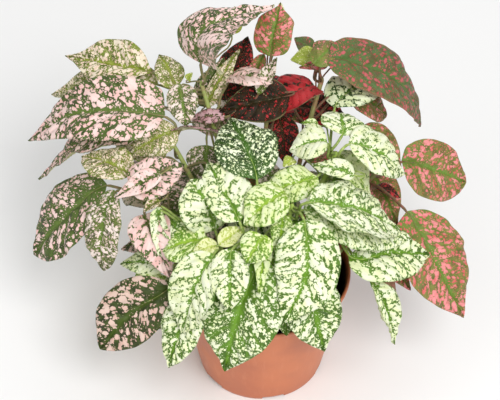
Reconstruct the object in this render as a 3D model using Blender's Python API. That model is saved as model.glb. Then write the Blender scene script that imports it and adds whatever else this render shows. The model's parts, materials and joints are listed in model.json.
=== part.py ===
"""Potted polka dot plant: three varieties of Hypoestes growing together in one nursery pot.

Metres, +Z up. The origin is the centre of the pot's base, on the surface it stands on, and the
plant's front faces -Y. Every stem, every leaf with its petiole, the soil and the pot is its own
closed body. The shoots and leaves are set out in millimetres in two tables, and the leaves are
then eased apart, as they rest over and under each other.
"""

import math
from collections import namedtuple

import bmesh
import bpy
import numpy as np
from mathutils import Vector

MM = 0.001

# Pot: a straight cone with a raised floor, a foot ring and a centre pad
POT_HEIGHT = 0.077
POT_TOP_RADIUS = 0.053
POT_BASE_RADIUS = 0.0383
POT_WALL = 0.0012
RIM_PROUD = 0.0007
RIM_DEPTH = 0.0035
FOOT_WIDTH = 0.006
FLOOR_RISE = 0.0022
FLOOR_THICKNESS = 0.0014
PAD_RADIUS = 0.012
EDGE_ROUND = 0.0008
POT_SEGMENTS = 48
DRAIN_COUNT = 6
DRAIN_RADIUS = 0.0035
DRAIN_CIRCLE = 0.022
NOTCH_WIDTH = 0.013
FIRST_NOTCH_ANGLE = math.radians(-79)

# Soil
GAP = 0.0003
SOIL_LEVEL = 0.0655
SOIL_DOME = 0.0018
SOIL_LUMP = 0.0007
SOIL_RINGS = 6
SOIL_SEGMENTS = 32

# Stems and leaves
STEM_BASE_RADIUS = 0.0017
STEM_TIP_RADIUS = 0.0011
NODE_SWELL = 1.25
STEM_RINGS = 10
PETIOLE_RADIUS = 0.0009
ELBOW = 0.003
GROOVE = 0.45
HALF_SECTION = 3
BLADE_TOP = 0.00022
MIDRIB_DEPTH = 0.0006
PETIOLE_STATIONS = (0.0, 0.9, 1.5)
BLADE_STATIONS = (0.0, 0.05, 0.12, 0.21, 0.32, 0.44, 0.56, 0.68, 0.79, 0.89, 0.97)
STEM_SIDES = 8
# Blade outlines: where the blade is widest along its midrib, and how fast it narrows to its tip
OUTLINES = {
    "egg": (0.41, 0.92),
    "heart": (0.33, 1.0),
    "full": (0.31, 1.1),
    "drawn": (0.40, 1.45),
    "long": (0.38, 1.1),
    "round": (0.48, 0.6),
    "blunt": (0.50, 0.72),
}

# Easing the leaves apart along the direction that they are layered in, up and to the front
LAYER_AXIS = np.array((0.0, -math.sqrt(0.5), math.sqrt(0.5)))
CELL = 0.0011
CLEARANCE = 0.0006
EASE_PASSES = 200
EASE_STEP = 0.45
ROOT_EASE = (0.0, 0.0, 0.3, 0.6, 0.8)
LEAST_REACH = 0.3
LEAN = 0.9
STIFFNESS = 0.12

COLOURS = {
    "pot": (0.55, 0.19, 0.10),
    "soil": (0.022, 0.014, 0.010),
    "stem": (0.30, 0.38, 0.14),
    "pink": (0.62, 0.42, 0.38),
    "red": (0.36, 0.10, 0.08),
    "white": (0.60, 0.68, 0.42),
}

# root and crown: where the stem leaves the soil, and its growing tip
Shoot = namedtuple("Shoot", "name root crown")
SHOOTS = (
    Shoot("pink_a", (-13, 24), (-36, 67, 166)),
    Shoot("pink_b", (-22, 14), (-56, 48, 142)),
    Shoot("pink_c", (-27, 1), (-73, 19, 126)),
    Shoot("red_a", (0, 30), (4, 71, 167)),
    Shoot("red_b", (13, 27), (36, 77, 160)),
    Shoot("red_c", (27, 12), (68, 38, 119)),
    Shoot("white_a", (-16, -15), (-25, -25, 125)),
    Shoot("white_b", (-3, -20), (-4, -23, 129)),
    Shoot("white_c", (9, -9), (17, -8, 139)),
    Shoot("white_d", (18, 5), (43, 28, 146)),
)

# at: how far up its stem a leaf joins; neck: where the blade starts; layer: a leaf lies over
# those of a lower layer; shape: the blade's outline; arch: the midrib's rise over its chord;
# bow: its sideways bend; roll, fold and curl in degrees: about the midrib, up along it, and
# down at the margins; via: a point on the midrib, in place of arch and bow
FIELDS = "shoot number at neck tip width shape layer arch bow roll fold curl via"
Leaf = namedtuple("Leaf", FIELDS, defaults=(None,))
LEAVES = (
    Leaf("pink_a", 1, 0.98, (-36, 69, 178), (7, 94, 200), 46, "heart", 60, 0, 0, 0, 8, 8, (-33, 77, 197)),
    Leaf("pink_a", 2, 0.92, (-66, 80, 162), (-120, 111, 148), 33, "drawn", 50, 1, 0, -25, 20, 10),
    Leaf("pink_a", 3, 0.86, (-62, 76, 156), (-129, 98, 128), 34, "egg", 40, 5, 0, -10, 10, 10),
    Leaf("pink_a", 4, 0.95, (-47, 64, 166), (-44, 45, 150), 19, "egg", 62, 3, 0, 0, 12, 20),
    Leaf("pink_a", 5, 0.80, (-21, 67, 162), (11, 57, 163), 28, "egg", 52, 3, 0, 0, 12, 20),
    Leaf("pink_a", 6, 0.88, (-50, 68, 160), (-61, 88, 168), 18, "egg", 54, 3, 0, 0, 10, 20),
    Leaf("pink_b", 1, 0.95, (-57, 52, 152), (-141, 67, 118), 46, "full", 55, 17, 0, -15, 10, 15),
    Leaf("pink_b", 2, 0.80, (-58, 50, 138), (-136, 54, 98), 30, "long", 45, 15, 0, -5, 12, 25),
    Leaf("pink_c", 1, 0.97, (-76, 22, 133), (-106, 44, 126), 26, "egg", 56, 3, 0, 0, 10, 15),
    Leaf("pink_c", 2, 0.88, (-91, 22, 125), (-137, 14, 74), 45, "blunt", 52, 5, 0, -20, 12, 15),
    Leaf("pink_c", 3, 0.95, (-85, 15, 127), (-92, -8, 85), 28, "blunt", 64, 6, 0, 0, 12, 20),
    Leaf("pink_c", 4, 0.84, (-68, 1, 122), (-55, -27, 97), 30, "blunt", 60, 6, 0, 0, 25, 20),
    Leaf("pink_c", 5, 0.93, (-75, 6, 136), (-45, 21, 142), 35, "egg", 66, 3, 0, 20, 10, 20),
    Leaf("pink_c", 6, 0.55, (-51, -31, 99), (-94, -45, 57), 37, "blunt", 58, 2, 3, -35, 12, 15),
    Leaf("red_a", 1, 0.98, (5, 75, 178), (11, 97, 200), 24, "heart", 50, 3, 0, 0, 12, 20),
    Leaf("red_a", 2, 0.80, (17, 76, 147), (-27, 76, 134), 42, "egg", 36, 5, 0, -20, 12, 20),
    Leaf("red_a", 3, 0.75, (-21, 71, 148), (-8, 100, 172), 26, "egg", 48, 3, 0, 0, 12, 20),
    Leaf("red_b", 1, 0.97, (34, 86, 166), (52, 101, 165), 26, "egg", 42, 3, 0, 0, 10, 20),
    Leaf("red_b", 2, 0.98, (38, 78, 172), (98, 91, 108), 41, "egg", 56, 11, 0, 30, 12, 15),
    Leaf("red_b", 3, 0.85, (31, 74, 157), (9, 60, 148), 40, "egg", 38, 5, 0, -10, 12, 20),
    Leaf("red_b", 4, 0.70, (20, 74, 138), (51, 78, 128), 28, "egg", 30, 4, 0, 25, 12, 20),
    Leaf("red_b", 5, 0.75, (50, 87, 140), (77, 91, 118), 27, "round", 34, 4, 0, 30, 12, 20),
    Leaf("red_c", 1, 0.85, (68, 28, 117), (82, 28, 108), 12, "egg", 45, 2, 0, 0, 12, 20),
    Leaf("red_c", 2, 0.98, (84, 49, 118), (124, 52, 98), 38, "round", 48, 4, 0, 40, 8, 12),
    Leaf("red_c", 3, 0.90, (85, 12, 113), (119, -24, 60), 48, "egg", 54, 8, 4, 10, 10, 15),
    Leaf("white_a", 1, 0.92, (-27, -16, 126), (-48, 20, 130), 34, "egg", 62, 5, 0, 0, 12, 20),
    Leaf("white_a", 2, 0.70, (-57, -2, 128), (-55, -27, 103), 12, "long", 68, 2, 0, 0, 20, 20),
    Leaf("white_a", 3, 0.88, (-32, -25, 127), (-56, -20, 113), 28, "egg", 70, 3, 0, 0, 12, 20),
    Leaf("white_a", 4, 0.95, (-27, -33, 125), (-45, -54, 82), 32, "egg", 78, 6, 0, 0, 14, 20),
    Leaf("white_a", 5, 0.55, (-37, -42, 101), (-53, -65, 64), 28, "egg", 72, 4, 0, 0, 12, 20),
    Leaf("white_b", 1, 0.98, (-3, 0, 151), (-18, 40, 160), 38, "egg", 60, 6, 0, 0, 10, 20),
    Leaf("white_b", 2, 0.90, (-13, -23, 141), (-32, 16, 148), 32, "egg", 66, 5, 0, 0, 12, 20),
    Leaf("white_b", 3, 0.97, (-17, -35, 131), (-18, -60, 108), 22, "egg", 80, 4, 0, 0, 14, 20),
    Leaf("white_b", 4, 0.88, (-2, -38, 127), (-21, -68, 66), 44, "egg", 74, 7, 0, 0, 12, 20),
    Leaf("white_b", 5, 0.97, (1, -32, 139), (-9, -43, 128), 20, "egg", 82, 2, 0, 0, 12, 20),
    Leaf("white_c", 1, 0.97, (13, -6, 146), (-10, -17, 132), 28, "egg", 78, 4, 0, 0, 12, 20),
    Leaf("white_c", 2, 0.98, (26, -14, 147), (79, -4, 112), 36, "egg", 80, 7, 0, 0, 12, 20),
    Leaf("white_c", 3, 0.84, (23, -13, 140), (83, -6, 107), 38, "egg", 76, 3, 0, 10, 12, 20),
    Leaf("white_c", 4, 0.75, (21, -35, 108), (35, -59, 72), 36, "egg", 68, 5, 0, 0, 12, 20),
    Leaf("white_c", 5, 0.95, (23, -24, 143), (12, -59, 98), 37, "egg", 82, 6, -7, 0, 12, 20),
    Leaf("white_d", 1, 0.92, (43, 62, 150), (71, 93, 150), 32, "egg", 44, 3, 0, 0, 10, 15),
    Leaf("white_d", 2, 0.90, (31, 4, 149), (0, -4, 140), 24, "egg", 74, 3, 0, 0, 12, 20),
    Leaf("white_d", 3, 0.93, (37, 25, 156), (16, 24, 150), 32, "egg", 66, 3, 0, -10, 12, 20),
    Leaf("white_d", 4, 0.98, (46, 31, 156), (45, 54, 152), 26, "egg", 60, 3, 0, 0, 12, 20),
    Leaf("white_d", 5, 0.95, (49, 23, 157), (82, 23, 132), 34, "egg", 72, 5, 0, 5, 12, 20),
    Leaf("white_d", 6, 0.82, (46, 18, 143), (63, 16, 121), 32, "egg", 64, 3, 0, 5, 12, 20),
    Leaf("white_d", 7, 0.60, (49, -26, 116), (97, -5, 94), 36, "egg", 60, 4, 0, 15, 12, 20),
    Leaf("white_d", 8, 0.52, (62, -33, 102), (76, -49, 66), 22, "long", 56, 4, 0, 0, 20, 20),
)


def material(name, colour, roughness):
    """A plain Principled material."""
    made = bpy.data.materials.new(name)
    made.use_nodes = True
    shader = made.node_tree.nodes["Principled BSDF"]
    shader.inputs["Base Color"].default_value = (*colour, 1.0)
    shader.inputs["Roughness"].default_value = roughness
    shader.inputs["Metallic"].default_value = 0.0
    return made


def add_object(name, points, faces, finish):
    """A smooth-shaded mesh object of these points and triangles or quads, facing outwards."""
    mesh = bpy.data.meshes.new(name)
    mesh.from_pydata([tuple(p) for p in points], [], faces)
    if signed_volume(mesh) < 0:
        mesh.flip_normals()
    mesh.materials.append(finish)
    mesh.shade_smooth()
    mesh.set_sharp_from_angle(angle=math.radians(40))
    made = bpy.data.objects.new(name, mesh)
    bpy.context.scene.collection.objects.link(made)
    return made


def signed_volume(mesh):
    """A closed mesh's volume, negative where its faces point inwards."""
    shape = bmesh.new()
    shape.from_mesh(mesh)
    volume = shape.calc_volume(signed=True)
    shape.free()
    return volume


def turned(name, profile, segments, finish):
    """A solid turned about Z from (radius, height) points, which start and end on the axis."""
    points = [(0.0, 0.0, profile[0][1])]
    for radius, height in profile[1:-1]:
        for step in range(segments):
            angle = 2 * math.pi * step / segments
            points.append((radius * math.cos(angle), radius * math.sin(angle), height))
    points.append((0.0, 0.0, profile[-1][1]))
    return add_object(name, points, tube_faces(len(profile) - 2, segments), finish)


def tube_faces(rings, around):
    """Triangles of a closed tube: a first pole, rings of `around` points, and a last pole."""
    faces = []
    last = rings * around + 1
    for j in range(around):
        k = (j + 1) % around
        faces.append((0, 1 + k, 1 + j))
        faces.append((last, last - around + j, last - around + k))
        for i in range(rings - 1):
            low = 1 + i * around
            high = low + around
            faces.append((low + j, low + k, high + k))
            faces.append((low + j, high + k, high + j))
    return faces


def outer_radius(height):
    """The pot's outer radius at a height."""
    return POT_BASE_RADIUS + (POT_TOP_RADIUS - RIM_PROUD - POT_BASE_RADIUS) * height / POT_HEIGHT


def cutter(name, points, faces):
    """A closed helper body that is cut from the pot."""
    made = add_object(name, points, faces, None)
    made.hide_render = True
    made.display_type = "WIRE"
    return made


def cut(target, tool):
    modifier = target.modifiers.new(tool.name, "BOOLEAN")
    modifier.object = tool
    modifier.operation = "DIFFERENCE"
    modifier.solver = "EXACT"


def make_pot():
    """The pot: floor pad, raised floor, foot ring, conical wall and a small bead at the rim."""
    rim_low = POT_HEIGHT - RIM_DEPTH
    floor_top = FLOOR_RISE + FLOOR_THICKNESS
    inner_foot = POT_BASE_RADIUS - FOOT_WIDTH
    profile = (
        (0.0, 0.0),
        (PAD_RADIUS, 0.0),
        (PAD_RADIUS + EDGE_ROUND, FLOOR_RISE),
        (inner_foot - EDGE_ROUND, FLOOR_RISE),
        (inner_foot, 0.0),
        (POT_BASE_RADIUS - EDGE_ROUND, 0.0),
        (outer_radius(EDGE_ROUND), EDGE_ROUND),
        (outer_radius(rim_low), rim_low),
        (outer_radius(rim_low) + RIM_PROUD, rim_low + RIM_PROUD),
        (POT_TOP_RADIUS, POT_HEIGHT - EDGE_ROUND / 2),
        (POT_TOP_RADIUS - EDGE_ROUND / 2, POT_HEIGHT),
        (POT_TOP_RADIUS - RIM_PROUD - POT_WALL + EDGE_ROUND / 4, POT_HEIGHT),
        (POT_TOP_RADIUS - RIM_PROUD - POT_WALL, POT_HEIGHT - EDGE_ROUND / 2),
        (outer_radius(floor_top) - POT_WALL, floor_top),
        (0.0, floor_top),
    )
    pot = turned("pot", profile, POT_SEGMENTS, material("terracotta_plastic", COLOURS["pot"], 0.42))
    cut(pot, drain_cutter())
    cut(pot, notch_cutter())
    return pot


def drain_cutter():
    """One cylinder through the raised floor at each drain hole."""
    around = 16
    points = []
    faces = []
    for index in range(DRAIN_COUNT):
        angle = FIRST_NOTCH_ANGLE + 2 * math.pi * index / DRAIN_COUNT
        centre = Vector((math.cos(angle), math.sin(angle), 0)) * DRAIN_CIRCLE
        first = len(points)
        points.append(centre + Vector((0, 0, -FLOOR_RISE)))
        for height in (-FLOOR_RISE, 3 * FLOOR_RISE):
            for step in range(around):
                turn = 2 * math.pi * step / around
                reach = Vector((math.cos(turn), math.sin(turn), 0)) * DRAIN_RADIUS
                points.append(centre + reach + Vector((0, 0, height)))
        points.append(centre + Vector((0, 0, 3 * FLOOR_RISE)))
        faces += [tuple(first + i for i in face) for face in tube_faces(2, around)]
    return cutter("drain_holes", points, faces)


def notch_cutter():
    """One box through the foot ring beside each drain hole."""
    points = []
    faces = []
    low, high = -FLOOR_RISE, FLOOR_RISE - EDGE_ROUND / 4
    near, far = POT_BASE_RADIUS - FOOT_WIDTH - 2 * EDGE_ROUND, POT_BASE_RADIUS + 4 * EDGE_ROUND
    for index in range(DRAIN_COUNT):
        angle = FIRST_NOTCH_ANGLE + 2 * math.pi * index / DRAIN_COUNT
        out = Vector((math.cos(angle), math.sin(angle), 0))
        side = Vector((-math.sin(angle), math.cos(angle), 0)) * NOTCH_WIDTH / 2
        first = len(points)
        for height in (low, high):
            for reach, across in ((near, -side), (far, -side), (far, side), (near, side)):
                points.append(out * reach + across + Vector((0, 0, height)))
        corners = ((0, 3, 2, 1), (4, 5, 6, 7), (0, 1, 5, 4), (1, 2, 6, 5), (2, 3, 7, 6), (3, 0, 4, 7))
        faces += [tuple(first + i for i in face) for face in corners]
    return cutter("foot_notches", points, faces)


def soil_height(x, y):
    """The height of the soil's surface, which is slightly domed and lumpy."""
    reach = math.hypot(x, y) / POT_TOP_RADIUS
    lumps = math.sin(x * 310 + 1.1) * math.cos(y * 270) + 0.6 * math.sin(x * 620 - y * 540)
    return SOIL_LEVEL + SOIL_DOME * (1 - reach * reach) + SOIL_LUMP * lumps


def make_soil():
    """The soil: it fills the pot from its floor to just under the rim."""
    floor = FLOOR_RISE + FLOOR_THICKNESS + GAP
    points = [(0.0, 0.0, floor)]
    wall = []
    for height in (floor, SOIL_LEVEL - 2 * SOIL_DOME):
        wall.append((outer_radius(height) - POT_WALL - GAP * 1.5, height))
    edge = wall[-1][0]
    for radius, height in wall:
        points += ring_about_axis(radius, lambda x, y, level=height: level)
    for ring in range(SOIL_RINGS):
        points += ring_about_axis(edge * (1 - (ring + 0.3) / SOIL_RINGS), soil_height)
    points.append((0.0, 0.0, soil_height(0.0, 0.0)))
    faces = tube_faces(SOIL_RINGS + 2, SOIL_SEGMENTS)
    return add_object("soil", points, faces, material("peat", COLOURS["soil"], 0.95))


def ring_about_axis(radius, height_at):
    ring = []
    for step in range(SOIL_SEGMENTS):
        angle = 2 * math.pi * step / SOIL_SEGMENTS
        x = radius * math.cos(angle)
        y = radius * math.sin(angle)
        ring.append((x, y, height_at(x, y)))
    return ring


def stem_point(shoot, at):
    """A point on a stem's centre line: it leaves the soil steeply and then leans to its crown."""
    root = Vector((shoot.root[0] * MM, shoot.root[1] * MM, 0))
    root.z = soil_height(root.x, root.y) + STEM_BASE_RADIUS
    crown = Vector(shoot.crown) * MM
    bend = root.lerp(crown, 0.38)
    bend.z = root.z + (crown.z - root.z) * 0.62
    return root.lerp(bend, at).lerp(bend.lerp(crown, at), at)


def stem_radius(at):
    return STEM_BASE_RADIUS + (STEM_TIP_RADIUS - STEM_BASE_RADIUS) * at


def stem_rings(shoot, joints):
    """A tapered stem's rings, swollen where leaves join; its ends close to a point."""
    stations = [0.02 + 0.96 * i / (STEM_RINGS - 1) for i in range(STEM_RINGS)]
    rings = [[stem_point(shoot, 0.0)] * STEM_SIDES]
    for at in stations:
        swell = max([0.0] + [1 - abs(at - joint) / 0.07 for joint in joints])
        radius = stem_radius(at) * (1 + (NODE_SWELL - 1) * max(swell, 0.0))
        centre = stem_point(shoot, at)
        along = (stem_point(shoot, at + 0.01) - stem_point(shoot, at - 0.01)).normalized()
        side = along.cross(Vector((0, 1, 0))).normalized()
        up = side.cross(along)
        angles = [2 * math.pi * j / STEM_SIDES for j in range(STEM_SIDES)]
        rings.append([centre + (side * math.cos(a) + up * math.sin(a)) * radius for a in angles])
    rings.append([stem_point(shoot, 1.0)] * STEM_SIDES)
    return np.array(rings)


def add_tube(name, rings, finish):
    """A closed body through rings of points, the first and last of which are single points."""
    points = [rings[0][0]] + [point for ring in rings[1:-1] for point in ring] + [rings[-1][0]]
    return add_object(name, points, tube_faces(len(rings) - 2, len(rings[0])), finish)


def blade_width(shape, u):
    """The blade's width at u along it, from 0 to 1, as a share of its greatest width."""
    widest, tip_power = OUTLINES[shape]
    neck_power = tip_power * widest / (1 - widest)
    peak = widest**neck_power * (1 - widest) ** tip_power
    return u**neck_power * (1 - u) ** tip_power / peak


def smooth_curve(knots, at):
    """A point on a Catmull-Rom curve through the knots, with at counting knots."""
    i = min(int(at), len(knots) - 2)
    t = at - i
    here, there = knots[i], knots[i + 1]
    before = knots[i - 1] if i else here * 2 - there
    after = knots[i + 2] if i + 2 < len(knots) else there * 2 - here
    return 0.5 * (
        2 * here
        + (there - before) * t
        + (2 * before - 5 * here + 4 * there - after) * t * t
        + (3 * here - before - 3 * there + after) * t**3
    )


def leaf_rings(leaf, shoot):
    """The leaf's rings: a point, those round its petiole, the blade's, and the tip."""
    neck = Vector(leaf.neck) * MM
    tip = Vector(leaf.tip) * MM
    stem = stem_point(shoot, leaf.at)
    upward = (stem - stem_point(shoot, leaf.at - 0.02)).normalized()
    away = ((neck - stem) - upward * upward.dot(neck - stem)).normalized()
    root = stem + away * (stem_radius(leaf.at) * NODE_SWELL + GAP * 2)
    elbow = root + (away + upward * 0.4) * min(ELBOW, 0.3 * (neck - root).length)
    chord = (tip - neck).normalized()
    outward = Vector((tip.x, tip.y, 0)).normalized()
    lie = Vector((0, 0, 1)) + outward * 0.3
    normal = (lie - chord * lie.dot(chord)).normalized()
    across = chord.cross(normal)
    roll = math.radians(leaf.roll)
    face = normal * math.cos(roll) + across * math.sin(roll)
    if leaf.via:
        middle = Vector(leaf.via) * MM
    else:
        middle = neck.lerp(tip, 0.5) + face * leaf.arch * MM + chord.cross(face) * leaf.bow * MM
    knots = [root, elbow, neck, middle, tip]
    stations = list(PETIOLE_STATIONS) + [2 + 2 * u for u in BLADE_STATIONS]
    rings = []
    for at in stations:
        along = smooth_curve(knots, min(at + 0.02, 4)) - smooth_curve(knots, max(at - 0.02, 0))
        along.normalize()
        up = (face - along * face.dot(along)).normalized()
        side = along.cross(up)
        centre = smooth_curve(knots, at)
        half = leaf.width * MM / 2 * blade_width(leaf.shape, max(at - 2, 0) / 2)
        rings.append([centre + side * x + up * z for x, z in leaf_section(leaf, half)])
    first = (smooth_curve(knots, 0.02) - root).normalized()
    last = (tip - smooth_curve(knots, 3.98)).normalized()
    sides = len(rings[0])
    return np.array([[root - first * GAP] * sides] + rings + [[tip + last * GAP] * sides])


def leaf_section(leaf, half):
    """A leaf's section as (across, up) points: over the top from the left margin, and back below."""
    if half < PETIOLE_RADIUS:
        right = [(math.sin(a), math.cos(a)) for a in np.radians((30, 60, 90, 120, 150))]
        outline = right_and_left((0, GROOVE), right, (0, -1))
        return [(x * PETIOLE_RADIUS, z * PETIOLE_RADIUS) for x, z in outline]
    along = Vector((0, 0))
    upper = []
    lower = []
    for step in range(HALF_SECTION):
        part = (step + 0.5) / HALF_SECTION
        slope = math.radians(leaf.fold - leaf.curl * (1.5 * part - 0.25))
        along = along + Vector((math.cos(slope), math.sin(slope))) * half / HALF_SECTION
        thick = Vector((-math.sin(slope), math.cos(slope))) * BLADE_TOP
        upper.append(tuple(along + thick))
        lower.append(tuple(along - thick))
    rib = max(MIDRIB_DEPTH * min(half / 0.012, 1), 2 * BLADE_TOP)
    right = upper[:-1] + [tuple(along)] + lower[-2::-1]
    return right_and_left((0, BLADE_TOP), right, (0, -rib))


def right_and_left(top, right, bottom):
    """The points of a section that is the same on both sides, from its left margin over the top."""
    left = [(-x, z) for x, z in right]
    margin = len(right) // 2
    over = left[margin::-1] + [top] + right[: margin + 1]
    under = right[margin + 1 :] + [bottom] + left[:margin:-1]
    return over + under


class Cover:
    """The cells that a body of rings covers, seen along the layer axis, and its depth in each."""

    def __init__(self, layer, rings, ease, along, around):
        self.layer = layer
        self.rings = rings
        self.ease = ease
        self.shift = np.zeros(len(rings))
        steps = np.linalg.norm(np.diff(rings.mean(axis=1), axis=0), axis=1)
        self.most = LEAN * np.append(0.0, np.cumsum(steps))
        count, sides = rings.shape[:2]
        closed = np.concatenate([rings, rings[:, :1]], axis=1)
        place = np.linspace(0, count - 1, along)
        ring = np.minimum(place.astype(int), count - 2)
        part = (place - ring)[:, None, None]
        rows = closed[ring] * (1 - part) + closed[ring + 1] * part
        turn = np.linspace(0, sides, around, endpoint=False)
        corner = turn.astype(int)
        part = (turn - corner)[None, :, None]
        spots = (rows[:, corner] * (1 - part) + rows[:, corner + 1] * part).reshape(-1, 3)
        level = (spots[:, 1] + spots[:, 2]) * math.sqrt(0.5)
        key = np.floor(spots[:, 0] / CELL).astype(int) * 10000 + np.floor(level / CELL).astype(int)
        order = np.argsort(key, kind="stable")
        self.cells, self.starts = np.unique(key[order], return_index=True)
        self.place = np.repeat(place, around)[order]
        self.depth = (spots @ LAYER_AXIS)[order]
        counts = np.diff(np.append(self.starts, len(order)))
        self.centre = np.add.reduceat(self.place, self.starts) / counts
        self.reach = np.interp(self.centre, np.arange(count), ease)
        self.measure()

    def measure(self):
        depth = self.depth + np.interp(self.place, np.arange(len(self.shift)), self.shift)
        self.low = np.minimum.reduceat(depth, self.starts)
        self.high = np.maximum.reduceat(depth, self.starts)
        self.up = np.zeros(len(self.shift))
        self.down = np.zeros(len(self.shift))

    def push(self, towards, cells, amount):
        ring = np.minimum(self.centre[cells].astype(int), len(self.shift) - 2)
        np.maximum.at(towards, ring, amount)
        np.maximum.at(towards, ring + 1, amount)

    def settle(self, stiffness):
        """Moves the rings by what was asked of them, and spreads the bend along the leaf."""
        shift = self.shift + EASE_STEP * (self.up - self.down) * (self.ease > 0)
        ends = np.concatenate([shift[:1], shift, shift[-1:]])
        spread = shift + stiffness * (ends[:-2] + ends[2:] - 2 * shift)
        self.shift = np.clip(np.where(self.ease > 0, spread, 0.0), -self.most, self.most)
        self.measure()


def crossings(covers):
    """(upper, lower, cells of the upper, cells of the lower) for bodies that cross when seen so."""
    found = []
    for index, one in enumerate(covers):
        for other in covers[index + 1 :]:
            if not (one.ease.any() or other.ease.any()):
                continue
            _, in_one, in_other = np.intersect1d(one.cells, other.cells, return_indices=True)
            clear = (one.reach[in_one] > LEAST_REACH) | (other.reach[in_other] > LEAST_REACH)
            in_one, in_other = in_one[clear], in_other[clear]
            if not len(in_one):
                continue
            rise = (one.low[in_one] + one.high[in_one] - other.low[in_other] - other.high[in_other]).mean()
            if one.layer and other.layer:
                rise = one.layer - other.layer
            if rise >= 0:
                found.append((one, other, in_one, in_other))
            else:
                found.append((other, one, in_other, in_one))
    return found


def ease_apart(covers):
    """Lifts upper leaves and lowers the ones under them until they clear each other."""
    crossed = crossings(covers)
    for step in range(EASE_PASSES):
        for upper, lower, in_upper, in_lower in crossed:
            short = CLEARANCE + lower.high[in_lower] - upper.low[in_upper]
            reach_up, reach_down = upper.reach[in_upper], lower.reach[in_lower]
            total = np.maximum(reach_up + reach_down, 1e-9)
            tight = short > 0
            upper.push(upper.up, in_upper[tight], (short * reach_up / total)[tight])
            lower.push(lower.down, in_lower[tight], (short * reach_down / total)[tight])
        late = step > 0.8 * EASE_PASSES
        for cover in covers:
            cover.settle(0.0 if late else STIFFNESS)


def main():
    for old in list(bpy.data.objects):
        bpy.data.objects.remove(old, do_unlink=True)
    make_pot()
    make_soil()
    stem_finish = material("stem", COLOURS["stem"], 0.5)
    finishes = {key: material(f"{key}_leaf", COLOURS[key], 0.45) for key in ("pink", "red", "white")}
    shoots = {shoot.name: shoot for shoot in SHOOTS}
    covers = []
    for shoot in SHOOTS:
        joints = [leaf.at for leaf in LEAVES if leaf.shoot == shoot.name]
        rings = stem_rings(shoot, joints)
        covers.append(Cover(0, rings, np.zeros(len(rings)), 120, 16))
        add_tube(f"{shoot.name}_stem", rings, stem_finish)
    leaf_covers = []
    for leaf in LEAVES:
        rings = leaf_rings(leaf, shoots[leaf.shoot])
        ease = np.ones(len(rings))
        ease[: len(ROOT_EASE)] = ROOT_EASE
        leaf_covers.append(Cover(leaf.layer, rings, ease, 80, 96))
    ease_apart(covers + leaf_covers)
    for leaf, cover in zip(LEAVES, leaf_covers):
        rings = cover.rings + cover.shift[:, None, None] * LAYER_AXIS
        add_tube(f"{leaf.shoot}_leaf_{leaf.number}", rings, finishes[leaf.shoot.split("_")[0]])


main()
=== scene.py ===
import itertools
import json
import math
import random

import bmesh
import bpy
import numpy as np
from mathutils import Matrix, Vector, noise
from mathutils.bvhtree import BVHTree

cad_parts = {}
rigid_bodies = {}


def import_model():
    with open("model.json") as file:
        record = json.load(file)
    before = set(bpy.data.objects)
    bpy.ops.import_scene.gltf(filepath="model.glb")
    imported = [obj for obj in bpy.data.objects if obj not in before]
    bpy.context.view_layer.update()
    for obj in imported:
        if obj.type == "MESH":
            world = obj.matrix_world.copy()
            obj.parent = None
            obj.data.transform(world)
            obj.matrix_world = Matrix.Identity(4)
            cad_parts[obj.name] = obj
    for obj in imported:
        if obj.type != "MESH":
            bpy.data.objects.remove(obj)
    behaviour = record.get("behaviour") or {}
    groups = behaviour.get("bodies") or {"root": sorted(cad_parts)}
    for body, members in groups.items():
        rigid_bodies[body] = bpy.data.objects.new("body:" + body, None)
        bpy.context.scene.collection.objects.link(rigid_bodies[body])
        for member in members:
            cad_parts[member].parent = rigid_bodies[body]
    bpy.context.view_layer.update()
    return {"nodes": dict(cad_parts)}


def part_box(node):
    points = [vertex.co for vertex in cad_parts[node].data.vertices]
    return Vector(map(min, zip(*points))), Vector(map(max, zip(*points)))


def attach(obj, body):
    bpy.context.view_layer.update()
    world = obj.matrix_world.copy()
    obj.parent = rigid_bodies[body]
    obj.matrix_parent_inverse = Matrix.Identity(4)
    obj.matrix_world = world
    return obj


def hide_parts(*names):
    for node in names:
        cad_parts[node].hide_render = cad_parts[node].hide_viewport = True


for old in list(bpy.data.objects):
    bpy.data.objects.remove(old, do_unlink=True)

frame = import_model()
mm = 0.001
mapScale = 100.0    # mm of leaf or stem for one unit of its UV map
leafNames = sorted(name for name in frame["nodes"] if "_leaf_" in name)
stemNames = sorted(name for name in frame["nodes"] if name.endswith("_stem"))
print("frame loaded:", len(leafNames), "leaves,", len(stemNames), "stems")


# small helpers for shader trees; most take their tree from the sockets that they are given

def feed(socket, value):
    # a socket is linked, and anything else is set as the value
    if isinstance(value, bpy.types.NodeSocket):
        socket.id_data.links.new(value, socket)
    else:
        socket.default_value = value


def addNode(tree, kind, inputs=None, **settings):
    node = tree.nodes.new(kind)
    for name, value in settings.items():
        setattr(node, name, value)
    for key, value in (inputs or {}).items():
        feed(node.inputs[key], value)
    return node


def treeOf(values):
    return next(value.id_data for value in values if isinstance(value, bpy.types.NodeSocket))


def maths(operation, *values):
    return addNode(treeOf(values), "ShaderNodeMath", dict(enumerate(values)), operation=operation).outputs[0]


def times(a, b):
    return maths("MULTIPLY", a, b)


def timesPlus(a, b, c):
    return maths("MULTIPLY_ADD", a, b, c)


def minus(a, b):
    return maths("SUBTRACT", a, b)


def vectorMaths(operation, *values, output="Vector"):
    node = addNode(treeOf(values), "ShaderNodeVectorMath", dict(enumerate(values)), operation=operation)
    return node.outputs[output]


def ramp(value, low, high, toLow=0.0, toHigh=1.0):
    # goes smoothly from toLow to toHigh while the value goes from low to high
    inputs = {"Value": value, "From Min": low, "From Max": high, "To Min": toLow, "To Max": toHigh}
    node = addNode(value.id_data, "ShaderNodeMapRange", inputs, interpolation_type="SMOOTHSTEP")
    return node.outputs["Result"]


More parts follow.
